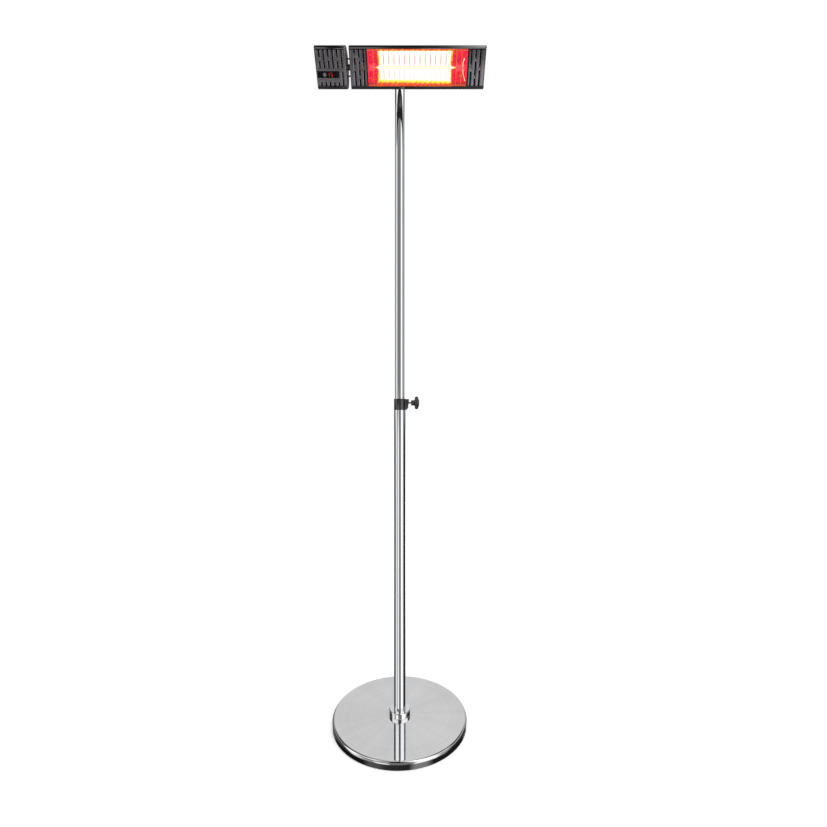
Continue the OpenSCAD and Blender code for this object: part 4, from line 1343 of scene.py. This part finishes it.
dome_look = Look("backdrop")
dome_look.set(base_color=(0, 0, 0, 1), emission_color=(1, 1, 1, 1), emission_strength=1.0, roughness=1.0)
bm = bmesh.new()
bmesh.ops.create_icosphere(bm, subdivisions=4, radius=29)
dome = bpy.data.objects.new("backdrop", finish_mesh(bm, "backdrop", 180))
dome.data.materials.append(dome_look.material)
for ray in ("diffuse", "glossy", "transmission", "shadow", "volume_scatter"):
    setattr(dome, "visible_" + ray, False)
bpy.context.scene.collection.objects.link(dome)
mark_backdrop(floor, dome)


# Light by direction, as bands of height from the ground up. Each band has the two values of the
# direction's upward share between which it takes over from the band below it, and its strips of light:
# (degrees round from -Y towards +X, brightness).
STUDIO = [
    # from straight down to 40 degrees below the horizon
    (None, [
        (-180, 0.1), (-120, 0.06), (-60, 0.3), (-25, 0.5), (-12, 0.5), (-9, 0.16), (-6, 0.08), (-1, 0.3),
        (5, 1.1), (7, 1.7), (12, 2.0), (28, 1.1), (45, 0.3), (120, 0.06), (180, 0.1),
    ]),
    # a narrow, mostly dark band up to 34 degrees below
    ((-0.66, -0.62), [
        (-180, 0.1), (-150, 0.3), (-130, 0.008), (-60, 0.008), (-48, 0.09), (-33, 0.09), (-22, 0.03),
        (16, 0.02), (27, 0.25), (45, 0.22), (58, 0.015), (130, 0.008), (150, 0.3), (180, 0.1),
    ]),
    # up to the horizon: soft boxes in front, and narrow strips behind
    ((-0.562, -0.55), [
        (-180, 0.01), (-174.2, 0.01), (-172, 0.13), (-170, 0.3), (-167, 0.8), (-158, 0.8), (-152, 0.1),
        (-100, 0.05), (-88, 0.12), (-79, 1.0), (-61, 0.9), (-54, 0.42), (-40, 0.38), (-34, 1.2), (-19, 1.15),
        (-12, 0.2), (20, 0.16), (27, 1.3), (61, 1.25), (68, 0.42), (80, 0.36), (87, 0.05), (100, 0.02),
        (150, 0.03), (156, 0.8), (166, 1.0), (173.2, 1.4), (175.2, 0.45), (176.5, 0.2), (178.4, 0.05),
        (180, 0.01),
    ]),
    # from the horizon to 33 degrees up
    ((-0.07, 0.07), [
        (-180, 0.74), (-163, 0.66), (-150, 0.24), (-101, 0.2), (-93, 0.25), (-88, 1.25), (-70, 1.25),
        (-62, 0.45), (-50, 0.24), (0, 0.2), (22, 0.26), (31, 1.2), (58, 1.2), (64, 0.45), (90, 0.34),
        (130, 0.34), (150, 0.6), (180, 0.74),
    ]),
    # to 44 degrees up
    ((0.54, 0.556), [
        (-180, 0.74), (-162, 0.7), (-150, 0.1), (-135, 0.02), (-98, 0.02), (-86, 0.4), (-80, 1.15),
        (-20, 1.1), (-13, 0.08), (16, 0.06), (24, 1.25), (92, 1.25), (104, 0.02), (135, 0.02), (150, 0.1),
        (162, 0.7), (180, 0.74),
    ]),
    # overhead
    ((0.66, 0.74), [
        (-180, 0.74), (-152, 0.7), (-138, 0.15), (-108, 0.06), (-86, 0.15), (-76, 0.35), (-62, 0.8),
        (-50, 1.2), (-46, 1.1), (-42, 0.5), (-39, 0.02), (-1, 0.01), (3, 0.03), (7, 0.07), (10.5, 0.12),
        (14, 0.2), (18, 0.32), (21, 0.45), (25, 0.7), (28, 0.95), (31, 1.3), (34, 1.7), (40, 2.4),
        (55, 1.6), (68, 1.2), (84, 0.2), (92, 0.08), (138, 0.03), (152, 0.7), (180, 0.74),
    ]),
]


def studio_world():
    """The surroundings that polished metal mirrors, from the bands of light above."""
    world = bpy.data.worlds.new("studio")
    bpy.context.scene.world = world
    world.use_nodes = True
    look = Nodes(world.node_tree, "Background")
    x, y, z = look.axes(look.add("ShaderNodeTexCoord").outputs["Generated"])
    around = look.between(look.math("ARCTAN2", x, look.times(y, -1)), -math.pi, math.pi)
    colour = None
    for edge, strips in STUDIO:
        band = look.ramp(around, [((angle + 180) / 360, (value, value, value)) for angle, value in strips])
        colour = look.mix(look.between(z, *edge, smooth=True), colour, band) if edge else band
    look.into("Color", colour)
    look.set(strength=1.0)


studio_world()


def soft_light(name, place, aim, size, power):
    """A wide lamp that lights surfaces without showing in the picture or in polished metal."""
    data = bpy.data.lights.new(name, "AREA")
    data.shape = "RECTANGLE"
    data.size, data.size_y = size
    data.energy = power
    light = bpy.data.objects.new(name, data)
    light.location = place
    light.rotation_euler = (Vector(aim) - Vector(place)).to_track_quat("-Z", "Y").to_euler()
    bpy.context.scene.collection.objects.link(light)
    light.visible_camera = False
    light.visible_glossy = False


soft_light("overhead", (0.6, -0.6, 4.6), (0, 0, 0), (3.2, 3.2), 60)
soft_light("front_right", (2.8, -2.4, 1.5), (0, 0, 1.9), (1.6, 2.4), 22)

# ---------------------------------------------------------------- sizes, then done

low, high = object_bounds()
